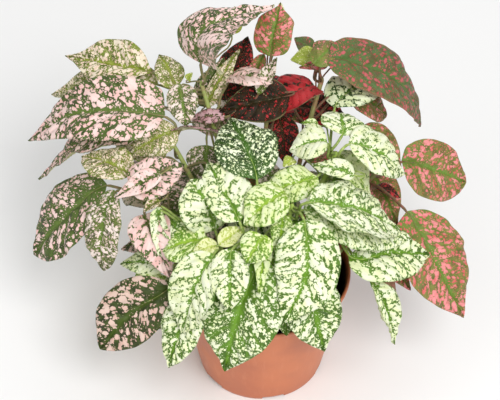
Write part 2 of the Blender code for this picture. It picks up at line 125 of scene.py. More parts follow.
def mixColour(share, *colours):
    a, b = ((*colour, 1.0) if isinstance(colour, tuple) else colour for colour in colours)
    inputs = {"Factor": share, "A": a, "B": b}
    return addNode(share.id_data, "ShaderNodeMix", inputs, data_type="RGBA").outputs["Result"]


def noiseAt(vector, scale, detail=2.0, roughness=0.5, distortion=0.0, output="Fac"):
    inputs = {"Vector": vector, "Scale": scale, "Detail": detail, "Roughness": roughness,
              "Distortion": distortion}
    return addNode(vector.id_data, "ShaderNodeTexNoise", inputs).outputs[output]


def cellsAt(vector, scale, feature="F1", **more):
    # distance to the middle, or to the edge, of the nearest of many small cells
    inputs = {"Vector": vector, "Scale": scale} | more
    return addNode(vector.id_data, "ShaderNodeTexVoronoi", inputs, feature=feature).outputs["Distance"]


def objectPlace(tree):
    return addNode(tree, "ShaderNodeTexCoord").outputs["Object"]


def splitXyz(vector):
    return addNode(vector.id_data, "ShaderNodeSeparateXYZ", {0: vector}).outputs


def newGroup(name, inputs, outputs):
    # inputs are {name: default}, where a vector's default has three numbers, and outputs are names of values
    tree = bpy.data.node_groups.new(name, "ShaderNodeTree")
    for key, value in inputs.items():
        kind = "NodeSocketVector" if isinstance(value, tuple) else "NodeSocketFloat"
        tree.interface.new_socket(name=key, in_out="INPUT", socket_type=kind).default_value = value
    for key in outputs:
        tree.interface.new_socket(name=key, in_out="OUTPUT", socket_type="NodeSocketFloat")
    return tree, tree.nodes.new("NodeGroupInput").outputs, tree.nodes.new("NodeGroupOutput").inputs


def useGroup(tree, group, inputs):
    return addNode(tree, "ShaderNodeGroup", inputs, node_tree=group).outputs


def newMaterial(name, specular, coat=0.0, coatRoughness=0.3):
    material = bpy.data.materials.new(name)
    material.use_nodes = True
    shader = material.node_tree.nodes["Principled BSDF"]
    shader.inputs["Specular IOR Level"].default_value = specular
    shader.inputs["Coat Weight"].default_value = coat
    shader.inputs["Coat Roughness"].default_value = coatRoughness
    return material, material.node_tree, shader


def setSurface(shader, colour, roughness, height, strength, depth):
    # height is bumped by up to depth, in m
    feed(shader.inputs["Base Color"], colour)
    feed(shader.inputs["Roughness"], roughness)
    inputs = {"Height": height, "Strength": strength, "Distance": depth}
    feed(shader.inputs["Normal"], addNode(shader.id_data, "ShaderNodeBump", inputs).outputs["Normal"])


# effects that the leaf finishes share

veinPlan = {
    "pairs": 6.0,       # side veins on each side of the midrib
    "sweep": 0.26,      # how far they run towards the tip on their way to the margin
    "bend": 1.25,
    "netSize": 1.3,     # mm between the veinlets
}

spotPlan = {
    "streak": 1.2,      # length of a spot along the side veins for its width
    "wander": 1.45,     # how ragged the outlines are
    "clumps": 0.44,     # clumps and dots to each mm, at a spot size of 1
    "dots": 1.0,
    "swaths": 0.2,
    "patchiness": 1.5,  # how much denser the spots are in some places than in others
}


def makeVeinGroup():
    tree, given, out = newGroup(
        "Leaf veins", {"Share": (0.5, 0.5, 0.0)}, ("Midrib", "Side Veins", "Margin", "Across", "Along"))
    share = splitXyz(given["Share"])
    across = maths("ABSOLUTE", timesPlus(share["X"], 2.0, -1.0))
    swept = times(maths("POWER", across, veinPlan["bend"]), veinPlan["sweep"])
    phase = times(minus(share["Y"], swept), veinPlan["pairs"] + 1)
    near = maths("ABSOLUTE", minus(maths("FRACT", maths("ADD", phase, 0.5)), 0.5))
    vein = times(ramp(near, 0.03, 0.16, 1.0, 0.0), ramp(phase, 0.3, 0.7))
    feed(out["Side Veins"], times(vein, ramp(across, 0.75, 1.0, 1.0, 0.2)))
    feed(out["Midrib"], ramp(across, 0.02, 0.13, 1.0, 0.0))
    feed(out["Margin"], ramp(across, 0.9, 1.0))
    feed(out["Across"], across)
    feed(out["Along"], share["Y"])
    return tree


def makeSpotGroup():
    # clumped dots that run together where they are dense, in swaths along the side veins; Place is in mm
    tree, given, out = newGroup(
        "Leaf spots",
        {"Place": (0.0, 0.0, 0.0), "Coverage": 0.5, "Spot Size": 1.0, "Seed": 0.0, "Green Rib": 0.5,
         "Rib Width": 2.2, "Along": 0.5, "Side Veins": 0.0, "Margin": 0.0},
        ("Spots", "Core", "Patches"))
    place = splitXyz(given["Place"])
    outward = maths("ABSOLUTE", place["X"])
    side = times(maths("SIGN", place["X"]), 31.0)
    alongVein = maths("DIVIDE", timesPlus(place["Y"], 0.45, outward), spotPlan["streak"])
    acrossVein = timesPlus(outward, -0.6, place["Y"])
    flow = addNode(tree, "ShaderNodeCombineXYZ", {
        "X": maths("DIVIDE", alongVein, given["Spot Size"]),
        "Y": maths("DIVIDE", acrossVein, given["Spot Size"]),
        "Z": timesPlus(given["Seed"], 7.3, side)}).outputs[0]
    wander = vectorMaths("SUBTRACT", noiseAt(flow, 0.75, 2.0, 0.55, output="Color"), (0.5, 0.5, 0.5))
    warped = vectorMaths("MULTIPLY_ADD", wander, (spotPlan["wander"], spotPlan["wander"], 0.0), flow)
    patches = noiseAt(vectorMaths("MULTIPLY", flow, (0.55, 1.0, 1.0)), spotPlan["swaths"], 2.0, 0.55, 0.3)
    density = timesPlus(minus(patches, 0.5), spotPlan["patchiness"], given["Coverage"])
    ribReach = times(given["Rib Width"], timesPlus(given["Along"], -0.75, 1.1))
    rib = ramp(maths("DIVIDE", outward, maths("MAXIMUM", ribReach, 0.3)), 0.1, 1.0, 1.0, 0.0)
    rib = timesPlus(given["Side Veins"], 0.45, rib)
    density = minus(minus(density, times(rib, given["Green Rib"])), times(given["Margin"], 0.12))
    clumps = cellsAt(warped, spotPlan["clumps"], "SMOOTH_F1", Smoothness=0.25)
    big = minus(timesPlus(density, 0.62, 0.2), clumps)
    small = minus(timesPlus(density, 0.34, 0.2), cellsAt(warped, spotPlan["dots"]))
    value = maths("MAXIMUM", big, times(small, 0.8))
    feed(out["Spots"], ramp(value, -0.025, 0.03))
    feed(out["Core"], ramp(value, 0.02, 0.2))
    feed(out["Patches"], patches)
    return tree


def makeSkinGroup():
    # the fine net of veinlets and the soft unevenness of a leaf's skin
    tree, given, out = newGroup(
        "Leaf skin", {"Place": (0.0, 0.0, 0.0), "Seed": 0.0, "Midrib": 0.0, "Side Veins": 0.0},
        ("Height", "Mottle"))
    level = addNode(tree, "ShaderNodeCombineXYZ", {"Z": times(given["Seed"], 5.1)}).outputs[0]
    place = vectorMaths("ADD", given["Place"], level)
    net = ramp(cellsAt(place, 1 / veinPlan["netSize"], "DISTANCE_TO_EDGE"), 0.0, 0.22)
    height = timesPlus(noiseAt(place, 0.5, 3.0, 0.6), 0.5, times(net, 0.5))
    height = minus(height, times(given["Side Veins"], 0.6))
    feed(out["Height"], minus(height, times(given["Midrib"], 0.5)))
    feed(out["Mottle"], noiseAt(place, 0.23, 3.0, 0.55))
    return tree


veinGroup = makeVeinGroup()
spotGroup = makeSpotGroup()
skinGroup = makeSkinGroup()


# leaf finishes

finishParts = ("green", "deep", "fresh", "pale", "warm", "under", "underPale", "rib", "ribWidth")
leafFinishes = {
    # linear colours of the ground (green, deep, and fresh by the veins), of the spots (pale and warm) and of
    # the lower side (under, underPale), how much the spots keep off the midrib, and how far from it in mm
    "pinkBold": ((0.09, 0.138, 0.026), (0.038, 0.057, 0.012), (0.128, 0.2, 0.032), (0.93, 0.71, 0.66),
                 (0.85, 0.52, 0.48), (0.42, 0.44, 0.2), (0.76, 0.68, 0.5), 0.55, 2.4),
    "pinkOlive": ((0.19, 0.25, 0.031), (0.09, 0.12, 0.017), (0.32, 0.38, 0.043), (0.89, 0.79, 0.62),
                  (0.82, 0.6, 0.46), (0.42, 0.46, 0.18), (0.74, 0.72, 0.46), 0.45, 2.0),
    "pinkGrey": ((0.14, 0.18, 0.036), (0.065, 0.08, 0.019), (0.15, 0.26, 0.031), (0.88, 0.76, 0.68),
                 (0.78, 0.58, 0.51), (0.4, 0.42, 0.2), (0.7, 0.64, 0.46), 0.5, 2.2),
    # painted shade: a darker copy of pinkBold, for a pink leaf that lies in the plant's shade
    "pinkShade": ((0.056, 0.08, 0.013), (0.024, 0.031, 0.006), (0.08, 0.13, 0.018), (0.76, 0.57, 0.48),
                  (0.68, 0.43, 0.35), (0.38, 0.38, 0.17), (0.68, 0.58, 0.42), 0.55, 2.4),
    # painted shade: a darker, mauve copy of the pink finishes, for small pink leaves that lie in shade
    "mauveShade": ((0.08, 0.07, 0.022), (0.035, 0.03, 0.01), (0.12, 0.12, 0.031), (0.66, 0.42, 0.44),
                   (0.5, 0.25, 0.27), (0.5, 0.5, 0.28), (0.74, 0.7, 0.5), 0.3, 2.0),
    "cream": ((0.102, 0.212, 0.021), (0.054, 0.118, 0.012), (0.175, 0.355, 0.025), (0.86, 0.9, 0.666),
              (0.8, 0.86, 0.486), (0.36, 0.46, 0.16), (0.8, 0.85, 0.55), 0.6, 2.8),
    "lime": ((0.16, 0.33, 0.022), (0.09, 0.2, 0.014), (0.33, 0.52, 0.031), (0.82, 0.89, 0.54),
             (0.7, 0.8, 0.324), (0.42, 0.52, 0.16), (0.76, 0.84, 0.44), 0.5, 2.4),
    "youngLime": ((0.46, 0.56, 0.09), (0.32, 0.4, 0.05), (0.5, 0.62, 0.08), (0.84, 0.87, 0.5),
                  (0.78, 0.8, 0.36), (0.5, 0.58, 0.14), (0.78, 0.82, 0.4), 0.4, 1.2),
    "deepWhite": ((0.035, 0.085, 0.01), (0.016, 0.038, 0.005), (0.065, 0.17, 0.014), (0.84, 0.9, 0.648),
                  (0.72, 0.8, 0.45), (0.3, 0.38, 0.14), (0.66, 0.72, 0.46), 0.45, 2.2),
    "redOlive": ((0.235, 0.225, 0.052), (0.148, 0.13, 0.032), (0.14, 0.28, 0.031), (0.84, 0.3, 0.3),
                 (0.66, 0.12, 0.11), (0.34, 0.2, 0.13), (0.55, 0.24, 0.2), 0.5, 2.4),
    "redGreen": ((0.09, 0.17, 0.05), (0.12, 0.075, 0.031), (0.085, 0.18, 0.032), (0.54, 0.12, 0.125),
                 (0.38, 0.055, 0.05), (0.34, 0.2, 0.11), (0.55, 0.24, 0.18), 0.4, 2.6),
    # partly the own dark maroon of some red leaves and partly painted shade: darkened to stand for red
    # leaves that lie in shade
    "redShade": ((0.033, 0.021, 0.008), (0.012, 0.008, 0.004), (0.033, 0.027, 0.009), (0.52, 0.035, 0.04),
                 (0.32, 0.015, 0.018), (0.3, 0.26, 0.12), (0.56, 0.5, 0.28), 0.35, 1.6),
}
leafFinishes = {name: dict(zip(finishParts, row)) for name, row in leafFinishes.items()}
# two have a margin of another colour, and one is duller
leafFinishes["redGreen"] |= {"rim": (0.34, 0.14, 0.08), "rimShare": 0.6}
leafFinishes["redShade"] |= {"rim": (0.22, 0.2, 0.08), "rimShare": 0.75, "gloss": 0.16}


def leafNodes(tree, finish):
    def fromPiece(name):
        node = addNode(tree, "ShaderNodeAttribute", attribute_type="OBJECT", attribute_name=name)
        return node.outputs["Fac"]

    def fromMap(name):
        return addNode(tree, "ShaderNodeUVMap", uv_map=name).outputs[0]

    seed = fromPiece("seed")
    centred = vectorMaths("SUBTRACT", fromMap("leafPlace"), (0.5, 0.0, 0.0))
    place = vectorMaths("MULTIPLY", centred, (mapScale,) * 3)
    veins = useGroup(tree, veinGroup, {"Share": fromMap("leafShare")})
    spots = useGroup(tree, spotGroup, {
        "Place": place, "Coverage": fromPiece("coverage"), "Spot Size": fromPiece("spotSize"), "Seed": seed,
        "Green Rib": finish["rib"], "Rib Width": fromPiece("ribWidth"), "Along": veins["Along"],
        "Side Veins": veins["Side Veins"], "Margin": veins["Margin"]})
    skin = useGroup(tree, skinGroup, {
        "Place": place, "Seed": seed, "Midrib": veins["Midrib"], "Side Veins": veins["Side Veins"]})
    return veins, spots, skin


def makeUpperMaterial(name, finish):
    material, tree, shader = newMaterial(name + "Upper", finish.get("gloss", 0.3), 0.03, 0.4)
    veins, spots, skin = leafNodes(tree, finish)
    ground = mixColour(ramp(skin["Mottle"], 0.35, 0.65), finish["deep"], finish["green"])
    lit = times(ramp(veins["Across"], 0.02, 0.2, 1.0, 0.0), 0.75)
    lit = maths("MAXIMUM", lit, ramp(veins["Along"], 0.0, 0.45, 0.55, 0.0))
    lit = maths("MAXIMUM", lit, times(veins["Side Veins"], 0.3))
    ground = mixColour(lit, ground, finish["fresh"])
    spot = mixColour(ramp(spots["Patches"], 0.38, 0.62), finish["warm"], finish["pale"])
    spot = mixColour(timesPlus(spots["Core"], -0.35, 0.35), spot, finish["warm"])
    colour = mixColour(spots["Spots"], ground, spot)
    rimShare = times(veins["Margin"], finish.get("rimShare", 0.25))
    colour = mixColour(rimShare, colour, finish.get("rim", finish["green"]))
    setSurface(shader, colour, ramp(skin["Mottle"], 0.3, 0.7, 0.36, 0.52), skin["Height"], 0.6, 0.00045)
    return material


def makeUnderMaterial(name, finish):
    material, tree, shader = newMaterial(name + "Under", 0.3)
    veins, spots, skin = leafNodes(tree, finish)
    colour = mixColour(times(spots["Spots"], 0.75), finish["under"], finish["underPale"])
    lines = maths("MAXIMUM", times(veins["Side Veins"], 0.4), times(veins["Midrib"], 0.6))
    colour = mixColour(lines, colour, finish["underPale"])
    colour = mixColour(ramp(skin["Mottle"], 0.3, 0.7, 0.2, 0.0), colour, finish["green"])
    setSurface(shader, colour, ramp(skin["Mottle"], 0.3, 0.7, 0.54, 0.66), skin["Height"], 0.4, 0.0003)
    return material


stemFinishes = {
    "pinkStem": {"young": (0.34, 0.42, 0.11), "old": (0.19, 0.19, 0.07), "flush": (0.34, 0.2, 0.12)},
    "redStem": {"young": (0.27, 0.26, 0.09), "old": (0.12, 0.08, 0.035), "flush": (0.32, 0.09, 0.07)},
    "whiteStem": {"young": (0.4, 0.55, 0.1), "old": (0.24, 0.34, 0.07), "flush": (0.5, 0.58, 0.2)},
}


def makeStemMaterial(name, finish):
    material, tree, shader = newMaterial(name, 0.35)
    uv = addNode(tree, "ShaderNodeUVMap", uv_map="leafPlace").outputs[0]
    place = vectorMaths("MULTIPLY", uv, (mapScale,) * 3)
    patches = noiseAt(place, 0.35, 3.0, 0.6)
    lines = noiseAt(vectorMaths("MULTIPLY", place, (3.0, 0.45, 1.0)), 1.4, 3.0, 0.6)
    colour = mixColour(ramp(splitXyz(uv)["Y"], 0.15, 0.75), finish["old"], finish["young"])
    colour = mixColour(times(ramp(patches, 0.42, 0.66), 0.7), colour, finish["flush"])
    colour = mixColour(ramp(lines, 0.55, 0.75, 0.0, 0.3), colour, finish["young"])
    setSurface(shader, colour, ramp(patches, 0.3, 0.7, 0.38, 0.56), lines, 0.4, 0.0002)
    return material


upperMaterials = {name: makeUpperMaterial(name, finish) for name, finish in leafFinishes.items()}
underMaterials = {name: makeUnderMaterial(name, finish) for name, finish in leafFinishes.items()}
stemMaterials = {name: makeStemMaterial(name, finish) for name, finish in stemFinishes.items()}
print("leaf and stem finishes made")


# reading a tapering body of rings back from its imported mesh

def readRings(nodeName, around):
    mesh = frame["nodes"][nodeName].data
    places = np.array([v.co for v in mesh.vertices]) / mm
    points, index = np.unique(np.round(places, 3), axis=0, return_inverse=True)
    index = index.reshape(-1)
    near = [set() for point in points]
    for face in mesh.polygons:
        corners = {int(index[v]) for v in face.vertices}
        for corner in corners:
            near[corner] |= corners - {corner}
    pole = next(i for i, others in enumerate(near) if len(others) == around)
    levels = [[pole]]
    seen = {pole}
    while len(levels[-1]) > 1 or len(levels) == 1:
        levels.append(sorted({n for i in levels[-1] for n in near[i]} - seen))
        seen |= set(levels[-1])
    order = [levels[1][0]]
    while len(order) < around:
        order.append(min((near[order[-1]] & set(levels[1])) - set(order[-2:])))
    rings = [order]
    for level in levels[2:-1]:
        above = [near[i] & set(level) for i in rings[-1]]
        rings.append([min(above[j] & above[(j + 1) % around]) for j in range(around)])
    # a point's partner in the next ring is either of two neighbours: the nearer are right for the whole body
    turned = []
    for turn in (0, 1):
        turned.append(np.array([np.roll(points[ring], turn * i, axis=0) for i, ring in enumerate(rings)]))
    rings = min(turned, key=lambda stack: (np.diff(stack, axis=0) ** 2).sum())
    return points[pole], rings, points[levels[-1][0]]


def readLeaf(nodeName):
    # rings from the petiole's root to the tip, and each from the left margin over the top
    root, rings, tip = readRings(nodeName, 12)
    spread = [float(np.linalg.norm(rings[i] - rings[i].mean(0), axis=1).max()) for i in (3, -4)]
    if spread[0] > spread[1]:
        root, rings, tip = tip, rings[::-1], root
    centre = rings[0].mean(0)
    groove = int(np.argmin(np.linalg.norm(rings[0] - centre, axis=1)))
    rings = np.roll(rings, 3 - groove, axis=1)
    ahead = rings[1].mean(0) - centre
    if np.dot(np.cross(ahead, rings[0][3] - rings[0][9]), rings[0][6] - rings[0][0]) < 0:
        rings = np.roll(rings[:, ::-1], 7, axis=1)
    return root, rings, tip


def splineThrough(knots, values, where):
    # a smooth curve through values at knots, read at where
    slopes = np.gradient(values, knots, axis=0)
    i = np.clip(np.searchsorted(knots, where, side="right") - 1, 0, len(knots) - 2)
    gap = (knots[i + 1] - knots[i]).reshape((-1,) + (1,) * (values.ndim - 1))
    t = (where - knots[i]).reshape(gap.shape) / gap
    return ((2 * t**3 - 3 * t**2 + 1) * values[i] + (t**3 - 2 * t**2 + t) * gap * slopes[i]
            + (3 * t**2 - 2 * t**3) * values[i + 1] + (t**3 - t**2) * gap * slopes[i + 1])


def alongLine(points):
    return np.append(0.0, np.cumsum(np.linalg.norm(np.diff(points, axis=0), axis=1)))


def unit(vectors):
    return vectors / np.maximum(np.linalg.norm(vectors, axis=-1, keepdims=True), 1e-9)


def onCircle(radius, angle):
    return radius * math.cos(angle), radius * math.sin(angle)


# growing blades and petioles

bladeShape = {
    # in mm; the first of a pair is a height or depth
    "cell": 0.95,                 # distance between the points of the mesh
    "halfThickness": 0.15,
    "midribGroove": (0.6, 0.9),   # and half its width
    "veinGroove": (0.25, 0.55),
    "quilt": 1.2,                 # how far the skin bulges between side veins
    "marginWave": (1.0, 21.0),    # and its length
    "swell": (1.6, 19.0),         # slow rise and fall over the whole blade, and its spacing
    "crinkle": (1.0, 8.0),
    "fullRelief": 50.0,           # length from which a blade has all these heights in full
    "camber": 0.15,               # how far the margins bend down, for their distance from the midrib
    "widest": 0.36,               # share of the length at which a blade with no solid is widest
}


class Body:
    # the points and faces of one piece, gathered before its mesh is made
    def __init__(self):
        self.points = []
        self.faces = []
        self.finishes = []
        self.places = []
        self.shares = []
        self.count = 0

    def add(self, points, faces, finish, places, shares):
        # places and shares hold a pair of map coordinates for each point
        self.points.append(points)
        self.faces += [tuple(self.count + i for i in face) for face in faces]
        self.finishes += [finish] * len(faces)
        self.places.append(places)
        self.shares.append(shares)
        self.count += len(points)

    def build(self, name, materials):
        mesh = bpy.data.meshes.new(name)
        mesh.from_pydata((np.concatenate(self.points) * mm).tolist(), [], self.faces)
        corners = np.zeros(len(mesh.loops), np.int32)
        mesh.loops.foreach_get("vertex_index", corners)
        for layerName, values in (("leafPlace", self.places), ("leafShare", self.shares)):
            pairs = np.concatenate(values)[corners].astype(np.float32)
            mesh.uv_layers.new(name=layerName).data.foreach_set("uv", pairs.ravel())
        mesh.polygons.foreach_set("material_index", self.finishes)
        for material in materials:
            mesh.materials.append(material)
        mesh.shade_smooth()
        mesh.set_sharp_from_angle(angle=math.radians(70))
        mesh.validate()
        return mesh


def addObject(name, data):
    thing = bpy.data.objects.new(name, data)
    bpy.context.scene.collection.objects.link(thing)
    return thing


def placePiece(mesh, nodes=()):
    # nodes are the solids that the piece stands for
    piece = addObject(mesh.name, mesh)
    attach(piece, "root")
    if nodes:
        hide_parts(*nodes)
    return piece


def stripFaces(rows, columns, closed=False):
    # quads between rows of points; closed joins the last column to the first
    faces = []
    for a in range(0, (rows - 1) * columns, columns):
        for b in range(columns if closed else columns - 1):
            c = (b + 1) % columns
            faces.append((a + b, a + c, a + columns + c, a + columns + b))
    return faces


def addTube(body, line, radii, finish, sides=10, ridge=0.0):
    # a round body along a line in mm, closed at both ends
    along = unit(np.gradient(line, axis=0))
    side = unit(np.cross(along, np.array((0.31, 0.2, 0.93))))
    up = np.cross(side, along)
    angles = np.linspace(0, 2 * math.pi, sides, endpoint=False)
    around = np.cos(angles)[None, :, None] * side[:, None] + np.sin(angles)[None, :, None] * up[:, None]
    shape = radii[:, None] * (1 + ridge * np.cos(4 * angles)[None, :])
    rings = line[:, None] + around * shape[:, :, None]
    far = alongLine(line) / mapScale
    places = np.stack(np.broadcast_arrays(angles[None] * 0.4 / mapScale, far[:, None]), axis=-1)
    points = np.concatenate([rings.reshape(-1, 3), line[:1], line[-1:]])
    places = np.concatenate([places.reshape(-1, 2), [[0.0, far[0]], [0.0, far[-1]]]])
    faces = stripFaces(len(line), sides, closed=True)
    last = (len(line) - 1) * sides
    middles = (last + sides, last + sides + 1)
    for b in range(sides):
        c = (b + 1) % sides
        faces.append((middles[0], c, b))
        faces.append((middles[1], last + b, last + c))
    body.add(points, faces, finish, places, places)


def bladeGrid(rows, cell, rolls):
    # rows: seven points from margin to margin at each station from the neck to the tip, in mm
    lengths = alongLine(rows[:, 3])
    total = lengths[-1]
    width = float(alongLine(rows[len(rows) // 2])[-1])
    countAlong = max(14, int(round(total / cell)))
    countAcross = max(10, 2 * int(round(width / cell / 2)))
    where = np.linspace(0, 1, countAlong + 1)
    where = total * (where - 0.06 * np.sin(2 * math.pi * where) / math.pi)
    lines = splineThrough(lengths, rows, where)
    v = np.linspace(-1, 1, countAcross + 1)
    grid = splineThrough(np.linspace(-1, 1, 7), lines.transpose(1, 0, 2), v).transpose(1, 0, 2)
    steps = np.linalg.norm(np.diff(grid, axis=1), axis=2)
    rollMargins(grid, rolls)
    normal = unit(np.cross(np.gradient(grid, axis=1), np.gradient(grid, axis=0)))
    normal[-1] = normal[-2]
    s = np.broadcast_to(where[:, None], grid.shape[:2])
    t = np.concatenate([np.zeros((len(grid), 1)), np.cumsum(steps, axis=1)], axis=1)
    return grid, normal, s, t - t[:, countAcross // 2][:, None], v


def rollMargins(grid, rolls):
    # turns the outer part of a blade up and over (a positive angle) or under, on its left or right
    reach = np.sin(math.pi * np.linspace(0.02, 0.98, len(grid))) ** 0.5
    start = int(grid.shape[1] * 0.24)
    for side, angle in enumerate(rolls):
        if not angle:
            continue
        view = grid[:, ::-1] if side else grid
        out = unit(view[:, start] - view[:, start + 1])
        along = np.gradient(view[:, start], axis=0)
        up = unit(np.cross(out, along) if side else np.cross(along, out))
        far = np.cumsum(np.linalg.norm(view[:, start - 1::-1] - view[:, start:0:-1], axis=2), axis=1)
        bend = (angle * reach / np.maximum(far[:, -1], 0.05))[:, None]
        ahead, rise = np.sin(far * bend) / bend, (1 - np.cos(far * bend)) / bend
        turned = ahead[:, :, None] * out[:, None] + rise[:, :, None] * up[:, None]
        view[:, start - 1::-1] = view[:, start][:, None] + turned


def addBlade(body, rows, cell, rng, rolls, wave):
    # s and t are mm along and across, u and v the same as shares of the length and of the half width,
    # and outward is 0 at the midrib and 1 at the margin
    grid, normal, s, t, v = bladeGrid(rows, cell, rolls)
    shape = bladeShape
    total = s[-1, 0]
    u = s / total
    outward = np.broadcast_to(np.abs(v), u.shape)
    pairs = veinPlan["pairs"] + 1
    phase = (u - veinPlan["sweep"] * outward ** veinPlan["bend"]) * pairs
    part = np.mod(phase, 1.0)
    started = np.clip((phase - 0.2) / 0.4, 0, 1)
    toVein = np.minimum(part, 1 - part) * total / pairs
    inner = np.clip(outward / 0.16, 0, 1) * np.clip((1 - outward) / 0.2, 0, 1)
    lift = shape["quilt"] * np.sin(math.pi * part) ** 0.8 * inner * started
    depth, reach = shape["veinGroove"]
    lift -= depth * np.exp(-(toVein / reach) ** 2) * started * np.clip((1 - outward) / 0.3, 0, 1)
    depth, reach = shape["midribGroove"]
    lift -= depth * np.exp(-(t / reach) ** 2) * (1 - u) ** 0.4
    turns = rng.uniform(0, 6.28, 4)
    side = np.where(v < 0, turns[0], turns[1])[None, :]
    height, spacing = shape["marginWave"]
    way = math.pi * s / spacing
    ripple = np.sin(2 * way + side) + 0.25 * np.sin(4.7 * way + side * 2)
    lift += height * wave * ripple * outward**3 * np.sin(math.pi * np.clip(u, 0, 1)) ** 0.5
    start = Vector(turns[:3]) * 9
    for (height, spacing), level, fade in ((shape["swell"], 7, 5), (shape["crinkle"], 0, 8)):
        across, ahead = t.ravel() / spacing, s.ravel() / spacing
        bumps = np.array([noise.noise(Vector((a, b, level)) + start) for a, b in zip(across, ahead)])
        lift += height * bumps.reshape(t.shape) * np.clip(u * fade, 0, 1) * np.clip((1 - u) * fade, 0, 1)
    half = shape["halfThickness"] * (1 - outward**8) * np.clip((1 - u) * 12, 0.15, 1) + 0.004
    middle = grid + normal * min(total / shape["fullRelief"], 1.0) * lift[:, :, None]
    lower = middle - normal * half[:, :, None]
    places = np.stack([t / mapScale + 0.5, s / mapScale], axis=-1).reshape(-1, 2)
    shares = np.stack([np.broadcast_to(v / 2 + 0.5, t.shape), u], axis=-1).reshape(-1, 2)
    rowCount, columns = t.shape
    count = t.size
    base = body.count
    faces = stripFaces(rowCount, columns)
    body.add((middle + normal * half[:, :, None]).reshape(-1, 3), faces, 0, places, shares)
    body.add(lower.reshape(-1, 3), [face[::-1] for face in faces], 1, places, shares)
    # the rim joins the two skins all round
    rim = list(range(columns)) + list(range(2 * columns - 1, count, columns))
    rim += list(range(count - 2, count - columns - 1, -1)) + list(range(count - 2 * columns, 0, -columns))
    for i, j in zip(rim, rim[1:] + rim[:1]):
        body.faces.append((base + j, base + i, base + count + i, base + count + j))
    body.finishes += [0] * len(rim)
    return lower[:, columns // 2], u[:, columns // 2]


def bladeRows(neck, tip, width, facing=(0, -0.4, 0.9), arch=0.1, fold=0.12):
    # a leaf's middle surface from its two ends; facing is the way its upper side looks
    length = np.linalg.norm(tip - neck)
    ahead = (tip - neck) / length
    normal = unit(np.array(facing, float) - ahead * np.dot(facing, ahead))
    right = np.cross(ahead, normal)
    power = math.log(0.5) / math.log(bladeShape["widest"])
    rows = []
    for u in (0, 0.05, 0.12, 0.21, 0.32, 0.44, 0.56, 0.68, 0.79, 0.89, 0.97, 1.0):
        middle = neck + ahead * length * u + normal * arch * length * math.sin(math.pi * u**0.85)
        half = width / 2 * max(math.sin(math.pi * u**power), 0.0) ** 0.85 * (1 - 0.3 * u**4)
        half += 0.4 if u < 1 else 0
        v = np.linspace(-1, 1, 7)[:, None]
        rise = abs(v) * half * math.sin(fold) - bladeShape["camber"] * half * v * v
        rows.append(middle + right * v * half * math.cos(fold) + normal * rise)
    return np.array(rows)


def alongRows(values, count):
    # a value for each row, from a few that are evenly spaced from base to tip
    columns = np.array(values, float).reshape(len(values), -1).T
    places = np.linspace(0, 1, len(values))
    where = np.linspace(0, 1, count)
    return np.stack([np.interp(where, places, column) for column in columns], axis=-1)


def trimRows(rows, left, right):
    # makes each half of a blade wider or narrower
    centre = rows[:, 3:4]
    left, right = (alongRows(factors, len(rows)) for factors in (left, right))
    factors = np.concatenate([left] * 3 + [np.ones_like(left)] + [right] * 3, axis=1)
    factors[0] = 1.0
    return centre + (rows - centre) * factors[:, :, None]


def controlRows(rings, tip):
    # the blade's middle surface from its solid sections: seven points from margin to margin
    upper = rings[:, :7]
    lower = np.concatenate([rings[:, :1], rings[:, :5:-1]], axis=1)
    rows = (upper + lower) / 2
    rows[:, 3] = upper[:, 3] * 0.75 + lower[:, 3] * 0.25
    return np.concatenate([rows, np.tile(tip, (1, 7, 1))])


def addPetiole(body, line, ribLine, ribShare, radius):
    # the petiole runs on below the blade as its midrib, and thins out before the tip
    keep = ribShare < 0.93    # short of the tip
    rib = ribLine[keep][1::2]
    share = ribShare[keep][1::2]
    far = alongLine(line)
    smooth = splineThrough(far, line, np.linspace(0, far[-1], 14))[:-1]
    thin = np.concatenate([np.full(len(smooth), radius), radius * (0.72 - 0.6 * share ** 0.7)])
    thin[0] *= 1.25    # swollen where it leaves the stem
    addTube(body, np.concatenate([smooth, rib]), thin, 2, sides=8)


# the leaves

leafLooks = {
    # stem: finish, spotted share and spot size of each of its leaves, in order
    "pink_a": (("pinkBold", 0.48, 1.15), ("pinkOlive", 0.5, 1), ("pinkOlive", 0.42, 0.7),
               ("pinkGrey", 0.5, 0.7), ("pinkBold", 0.8, 1), ("pinkOlive", 0.3, 0.45)),
    "pink_b": (("pinkBold", 0.5, 1.35), ("pinkBold", 0.42, 1)),
    "pink_c": (("pinkOlive", 0.45, 0.5), ("pinkBold", 0.34, 1.35), ("pinkGrey", 0.4, 0.75),
               ("pinkBold", 0.75, 1.1), ("pinkBold", 0.62, 1.1), ("pinkShade", 0.4, 1.6)),
    "red_a": (("redOlive", 0.42, 1), ("redShade", 0.15, 0.8), ("redShade", 0.12, 0.8)),
    "red_b": (("redOlive", 0.15, 0.7), ("redGreen", 0.2, 1.3), ("redShade", 0.78, 1.6),
              ("redShade", 0.4, 0.9), ("redOlive", 0.35, 0.8)),
    "red_c": (("redShade", 0.35, 0.8), ("redOlive", 0.36, 1), ("redOlive", 0.42, 1.25)),
    "white_a": (("cream", 0.68, 0.9), ("cream", 0.7, 0.8), ("lime", 0.55, 0.8), ("cream", 0.72, 1),
                ("cream", 0.57, 0.9)),
    "white_b": (("deepWhite", 0.34, 0.75), ("cream", 0.68, 1), ("cream", 0.66, 0.8), ("cream", 0.4, 1),
                ("lime", 0.55, 0.7)),
    "white_c": (("lime", 0.64, 0.85), ("cream", 0.6, 0.75), ("cream", 0.66, 0.7), ("cream", 0.45, 0.95),
                ("cream", 0.6, 0.95)),
    "white_d": (("deepWhite", 0.66, 1.1), ("lime", 0.68, 0.8), ("cream", 0.82, 1.1), ("cream", 0.62, 0.8),
                ("cream", 0.74, 0.9), ("lime", 0.75, 0.9), ("cream", 0.68, 1.1), ("cream", 0.7, 0.9)),
}

